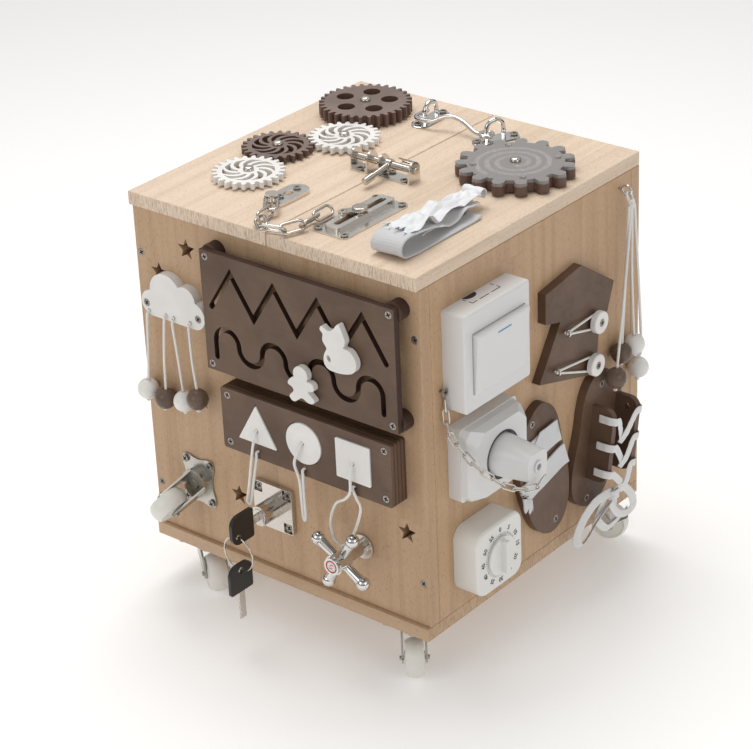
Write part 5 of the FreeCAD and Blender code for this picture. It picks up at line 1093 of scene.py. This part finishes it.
def strap():
    """The folded webbing with its screw, a crumpled satin ribbon and a second layer on it."""
    curve, _ = smooth_path([(run, 0, height) for run, height in STRAP_PROFILE], STRAP_STEPS + 1)

    def web(s, t):
        spot = curve[min(STRAP_STEPS, int(s * STRAP_STEPS + 0.5))] / MM
        skew = max(0, s - 0.5) * 5
        lift = wrinkle(spot.x, t * STRAP_WIDTH, s * 4, 0.06, 0.9) * (1 if s > 0.42 else 0.15)
        curl = 2.6 * max(0, 0.06 - s) / 0.06 * (0.4 + t)
        return strap_point(spot.x, (t - 0.5) * STRAP_WIDTH + skew, spot.z + lift + curl)

    sheet("webbing", web, STRAP_STEPS, 22, 1.3, "strap", lambda s, t: s < 0.985 or math.sin(t * 60) > -0.3)
    screw = bmesh.new()
    screw_head(screw, Vector(face_point("top", 109.6, -39.7, 3.6)), Vector((0, 0, 1)), 3.6, 0.4)
    from_bmesh("strap_screw_head", screw, ("screw", "dark"), angle=30)

    def satin(s, t):
        run = -90 + 106 * s
        width = 30 - 10 * min(1, s * 1.5)
        centre = 1.5 + 5 * s
        across = centre + (t - 0.5) * width
        base = 19.0 - 6.5 * min(1, s * 1.2)
        folds = 1.3 * math.sin(across * 0.42 + s * 11 + 2.2 * math.sin(s * 6.5))
        crease = 3.2 * abs(noise.noise(Vector((run * 0.06, across * 0.15, 1.7))))
        buckle = 4.0 * math.exp(-((s - 0.30) / 0.07) ** 2) * (1.2 - t)
        sag = 5.5 * math.exp(-((s - 0.43) / 0.07) ** 2) * (1.1 - t)
        ridge = 3.0 * math.exp(-((s - 0.58) / 0.06) ** 2) * (0.3 + t)
        return strap_point(run, across, max(OVER_STRAP, base + folds + crease + buckle - sag + ridge))

    sheet("satin_ribbon", satin, 150, 44, 0.45, "ribbon",
          lambda s, t: s > 0.03 * (1 + math.sin(t * 23)) + 0.02 * math.sin(t * 61) + 0.02)

    def roll(s, t):
        angle = 5.2 * s
        radius = 4.4 - 0.5 * s
        height = 8.6 + 4.0 - radius * math.cos(angle) * 0.85 + wrinkle(s * 20, t * 20, 3, 0.2, 0.8)
        return strap_point(18 + radius * math.sin(angle) * 0.9, (t - 0.5) * (20.5 - 2 * s) + 6.5, height)

    sheet("ribbon_roll", roll, 40, 24, 0.45, "ribbon")

    def under(s, t):
        run = -72 + 84 * s
        width = 28 - 6 * s
        across = (t - 0.5) * width + 1 + 3 * s
        wave = 2.4 * math.sin(s * 8.5 + 0.6) * (1.1 - 0.7 * t)
        height = 11.0 - 3.5 * s + wave + wrinkle(run, across, 7, 0.09, 2.0)
        return strap_point(run, across, max(OVER_STRAP, height))

    sheet("ribbon_layer", under, 60, 24, 0.6, "strap", lambda s, t: s < 0.97 - 0.05 * math.sin(t * 21))


# ---------------------------------------------------------------- printed marks and small details
TIMER = (-84.5, 60.0)
TIMER_FACE = 25.0
NUMBER_RADIUS = 23.0
TICK_INNER = 18.0
POINTER = ((0, 12.1), (2.0, 15.5), (-2.0, 15.5))
POINTER_LAYERS = (27.85 + 0.12, 27.85)


def dial_turn(minute):
    return math.radians(90 - 6 * minute)


def minute_number(minute):
    """A flat number standing at its place around the dial."""
    turn = dial_turn(minute)
    text = bpy.data.curves.new(f"minute_{minute}", "FONT")
    text.body = str(minute)
    text.size = 5.6 * MM
    text.align_x = "CENTER"
    text.align_y = "CENTER"
    text.extrude = 0.06 * MM
    text.offset = 0.12 * MM
    number = bpy.data.objects.new(f"minute_{minute}", text)
    bpy.context.scene.collection.objects.link(number)
    spot = place("right", *polar(TIMER, NUMBER_RADIUS, 90 - 6 * minute), TIMER_FACE + 0.08)
    across, up = Vector((0, 1, 0)), Vector((0, 0, 1))
    facing = Matrix((across, up, across.cross(up))).transposed().to_4x4()
    upright = Matrix.Rotation(turn - math.pi / 2, 4, "Z")
    number.matrix_world = Matrix.Translation(spot) @ facing @ upright
    return number


def minute_tick(bm, minute):
    """A thin radial mark, longer and wider at every fifth minute."""
    turn = dial_turn(minute)
    outer, half = (19.4, 0.16) if minute % 5 else (19.9, 0.26)
    c, s = math.cos(turn), math.sin(turn)
    corners = ((TICK_INNER, half), (outer, half), (outer, -half), (TICK_INNER, -half))
    bm.faces.new([bm.verts.new(place("right", TIMER[0] + r * c - side * s, TIMER[1] + r * s + side * c,
                                     TIMER_FACE + 0.1)) for r, side in corners])


def timer_print():
    """Numbers for the minutes, ticks between them and a pointer on the dial."""
    numbers = [minute_number(minute) for minute in range(0, 60, 5)]
    bpy.context.view_layer.update()
    bm = bmesh.new()
    depsgraph = bpy.context.evaluated_depsgraph_get()
    for number in numbers:
        mesh = bpy.data.meshes.new_from_object(number.evaluated_get(depsgraph))
        mesh.transform(number.matrix_world)
        bm.from_mesh(mesh)
        bpy.data.objects.remove(number)
    for minute in range(60):
        minute_tick(bm, minute)
    from_bmesh("timer_numbers", bm, "ink", "cube", None)
    pointer = bmesh.new()
    layers = [[pointer.verts.new(place("right", TIMER[0] + u, TIMER[1] + v, w)) for u, v in POINTER]
              for w in POINTER_LAYERS]
    pointer.faces.new(layers[0])
    skin(pointer, layers)
    bmesh.ops.recalc_face_normals(pointer, faces=pointer.faces)
    from_bmesh("timer_pointer", pointer, "red", "timer_dial", None)


SWITCH_LINE = ((-84.5, 260.2), (-67.5, 260.2), (-67.5, 261.8), (-84.5, 261.8))
KNOCKOUT_DASHES = ((-96, -90), (-87, -75), (-72, -61))
KNOCKOUT_SIDES = (-96.5, -61.1)


def switch_line():
    """The blue line printed on the rocker's tilted face."""
    face = max(NODES["switch_rocker"].data.polygons, key=lambda p: p.area * max(0, p.normal.x))
    normal, spot = face.normal, face.center / MM
    bm = bmesh.new()
    rows = []
    for lift in (0.07, -0.4):
        ring = []
        for y, v in SWITCH_LINE:
            x = spot.x - (normal.y * (y - spot.y) + normal.z * (v + UP - spot.z)) / normal.x
            ring.append(bm.verts.new((x + lift, y, v + UP)))
        rows.append(ring)
    bm.faces.new(rows[0])
    skin(bm, rows)
    bmesh.ops.scale(bm, vec=(MM, MM, MM), verts=bm.verts)
    bmesh.ops.recalc_face_normals(bm, faces=bm.faces)
    from_bmesh("switch_line", bm, "blue", "rocker", None)


def knockout():
    """The dashed outline, and the half-round notch on the upper side of the switch housing as a flat
    near-black sheet of painted shade.
    """
    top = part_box("switch_housing")[1].z / MM + 0.04
    bm = bmesh.new()

    def bar(y0, y1, w0, w1):
        corners = ((y0, w0), (y1, w0), (y1, w1), (y0, w1))
        bm.faces.new([bm.verts.new(Vector((RIGHT + w, y, top)) * MM) for y, w in corners])

    for y0, y1 in KNOCKOUT_DASHES:
        bar(y0, y1, 11.4, 12.4)
    for edge in KNOCKOUT_SIDES:
        bar(edge, edge + 1.0, 8.2, 12.0)
        bar(edge, edge + 1.0, 2.0, 5.6)
    from_bmesh("knockout_outline", bm, "ink", "cube", None)
    # The notch is a flat half disc in near black: painted shade for its hollow.
    bm = bmesh.new()
    ring = []
    for k in range(25):
        a = math.pi * k / 24
        spot = Vector((RIGHT + 0.4 + 5.6 * math.sin(a), -87 + 8.0 * math.cos(a), top))
        ring.append(bm.verts.new(spot * MM))
    bm.faces.new(ring)
    from_bmesh("knockout_notch", bm, "dark", "cube", None)


def ring_sheet(name, centre, inner, outer, lift, key, body="cube", face="right", around=72):
    """A thin flat ring standing on a face of the cube."""
    bm = bmesh.new()
    rings = []
    for r, w in ((inner, lift - 0.5), (inner, lift), (outer, lift), (outer, lift - 0.5)):
        angles = [2 * math.pi * k / around for k in range(around)]
        rings.append([bm.verts.new(place(face, centre[0] + r * math.cos(a), centre[1] + r * math.sin(a), w))
                      for a in angles])
    skin(bm, rings)
    bmesh.ops.recalc_face_normals(bm, faces=bm.faces)
    return from_bmesh(name, bm, key, body, 30)


SOCKET = (-80, 151)
LOCK = (-10.5, 73)
TAP = (82.5, 66.5)


def small_details():
    """Rings on the socket and lock, the tap's cap and its mark, and the keys' black bows."""
    ring_sheet("socket_ring", SOCKET, 19.5, 20.9, 26.25, "ink")
    ring_sheet("lock_rim", LOCK, 6.4, 7.2, 23.3, "chrome", face="front")
    ring_sheet("lock_core", LOCK, 3.4, 5.9, 23.1, "dull_zinc", face="front")
    ring_sheet("tap_mark_ring", TAP, 4.5, 5.1, 41.16, "red", "tap", "front", 48)
    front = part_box("faucet_handle")[0].y / MM
    paint_faces("faucet_handle", "plastic", lambda c, n: c.y < front + 1.6 and n.y < -0.8
                and (Vector((c.x, c.z - UP)) - Vector(TAP)).length < 6.8)
    swirl = bmesh.new()
    for turn in (0, math.pi):
        path = []
        for k in range(9):
            a = turn + 0.5 + 2.2 * k / 8
            r = 2.6 - 1.6 * k / 8
            path.append(face_point("front", TAP[0] + r * math.cos(a), TAP[1] + r * math.sin(a), 41.1))
        sweep(swirl, path, round_profile(0.3, 8), 0.3)
    from_bmesh("tap_mark", swirl, "red", "tap")


SPARE_KEY = -10.5
RING_W = 50.0


def is_bow(node, c):
    """True at a place (mm) on the plastic head of a key, not on its blade or on the split ring."""
    w = FRONT - c.y
    v = c.z - UP
    if node == "lock_key":
        return w > 30.5
    off_plane = abs(c.x - SPARE_KEY)
    on_ring = off_plane < 1.45 and v > 32.8 and abs(w - RING_W) < 0.75
    return off_plane < 1.8 and 15 < v < 42.5 and not on_ring


def bow_faces():
    """The keys' bows are black plastic and their blades are nickel."""
    for node in ("lock_key", "key_ring_set"):
        paint_faces(node, "black", lambda c, n: is_bow(node, c))


# ---------------------------------------------------------------- everything
PARTS = (finish_cad, screws, pendants, bead_bunch, puzzle_cords, plug_chain, door_chain, laces, elastics,
         touch_strips, strap, timer_print, switch_line, knockout, small_details, bow_faces)
for make in PARTS:
    make()


# ---------------------------------------------------------------- studio
# What glossy surfaces see, from straight down (0) to straight up (1), as (place, brightness).
REFLECTED_BANDS = ((0.0, 0.36), (0.42, 0.30), (0.47, 0.04), (0.57, 0.06), (0.63, 0.85), (0.85, 1.0),
                   (0.92, 0.16), (1.0, 0.5))
# Each lamp's place in metres, size, power in watts and tint.
LAMPS = {
    "top_light": ((-0.35, 0.25, 1.7), 1.1, 16, (1, 0.985, 0.97)),
    "front_light": ((-0.35, -1.7, 1.0), 1.0, 4.6, (1, 0.97, 0.94)),
    "side_light": ((1.8, -0.4, 0.9), 0.9, 4.0, (1, 0.98, 0.96)),
}
SURROUND = 0.62
AMBIENT = 0.50


def surroundings():
    """White behind the object, an even glow on matt surfaces and a banded one in shiny surfaces."""
    world = bpy.data.worlds.new("studio")
    bpy.context.scene.world = world
    world.use_nodes = True
    nodes, links = world.node_tree.nodes, world.node_tree.links
    nodes.clear()

    def glow(strength, colour=(1, 1, 1, 1)):
        node = nodes.new("ShaderNodeBackground")
        node.inputs[0].default_value = colour
        node.inputs[1].default_value = strength
        return node

    def choose(switch, otherwise, chosen):
        node = nodes.new("ShaderNodeMixShader")
        for socket, source in zip(node.inputs, (switch, otherwise, chosen)):
            links.new(source, socket)
        return node.outputs[0]

    ramp = nodes.new("ShaderNodeValToRGB")
    ramp.color_ramp.elements[0].position = REFLECTED_BANDS[0][0]
    ramp.color_ramp.elements[1].position = REFLECTED_BANDS[-1][0]
    for spot, _ in REFLECTED_BANDS[1:-1]:
        ramp.color_ramp.elements.new(spot)
    for element, (spot, level) in zip(ramp.color_ramp.elements, REFLECTED_BANDS):
        element.position = spot
        element.color = (level, level, level * 0.99, 1)
    split = nodes.new("ShaderNodeSeparateXYZ")
    span = nodes.new("ShaderNodeMapRange")
    span.inputs["From Min"].default_value = -1
    links.new(nodes.new("ShaderNodeTexCoord").outputs["Generated"], split.inputs[0])
    links.new(split.outputs[2], span.inputs["Value"])
    links.new(span.outputs["Result"], ramp.inputs[0])
    banded = glow(SURROUND)
    links.new(ramp.outputs[0], banded.inputs[0])
    rays = nodes.new("ShaderNodeLightPath").outputs
    even = glow(AMBIENT, (1.0, 0.985, 0.96, 1))
    lit = choose(rays["Is Glossy Ray"], even.outputs[0], banded.outputs[0])
    seen = choose(rays["Is Camera Ray"], lit, glow(1.0).outputs[0])
    links.new(seen, nodes.new("ShaderNodeOutputWorld").inputs[0])


def studio():
    scene = bpy.context.scene
    surroundings()
    middle = Vector((0, 0, 0.2))
    for name, (spot, size, power, tint) in LAMPS.items():
        data = bpy.data.lights.new(name, "AREA")
        data.size = size
        data.energy = power
        data.color = tint
        lamp = bpy.data.objects.new(name, data)
        scene.collection.objects.link(lamp)
        lamp.location = spot
        lamp.rotation_euler = (middle - Vector(spot)).to_track_quat("-Z", "Y").to_euler()

    mesh = bpy.data.meshes.new("floor")
    bm = bmesh.new()
    bmesh.ops.create_grid(bm, x_segments=1, y_segments=1, size=6)
    bm.to_mesh(mesh)
    bm.free()
    floor = bpy.data.objects.new("floor", mesh)
    scene.collection.objects.link(floor)
    paper = Finish("paper", (0.93, 0.93, 0.93), 0.8)
    paper.relief(paper.noise(300, 2), 0.0001, 0.05)
    paper.set(Emission_Color=(1, 1, 1, 1), Emission_Strength=0.18)
    mesh.materials.append(paper.mat)
    scene.view_settings.view_transform = "Standard"
    scene.view_settings.look = "None"
    scene.view_settings.exposure = 0.0


CAMERA_TURN, CAMERA_RISE, CAMERA_ROLL = (math.radians(angle) for angle in (40.339, 27.295, -2.607))
CAMERA_PLACE = Vector((1.23408, -1.47617, 1.17470))


def camera():
    level = math.cos(CAMERA_RISE)
    back = Vector((math.sin(CAMERA_TURN) * level, -math.cos(CAMERA_TURN) * level, math.sin(CAMERA_RISE)))
    right = Vector((math.cos(CAMERA_TURN), math.sin(CAMERA_TURN), 0))
    up = back.cross(right)
    c, s = math.cos(CAMERA_ROLL), math.sin(CAMERA_ROLL)
    data = bpy.data.cameras.new("camera")
    data.lens = 120.8
    data.sensor_width = 36
    eye = bpy.data.objects.new("camera", data)
    basis = Matrix((right * c + up * s, up * c - right * s, back)).transposed().to_4x4()
    eye.matrix_world = Matrix.Translation(CAMERA_PLACE) @ basis
    bpy.context.scene.collection.objects.link(eye)
    bpy.context.scene.camera = eye


studio()
camera()
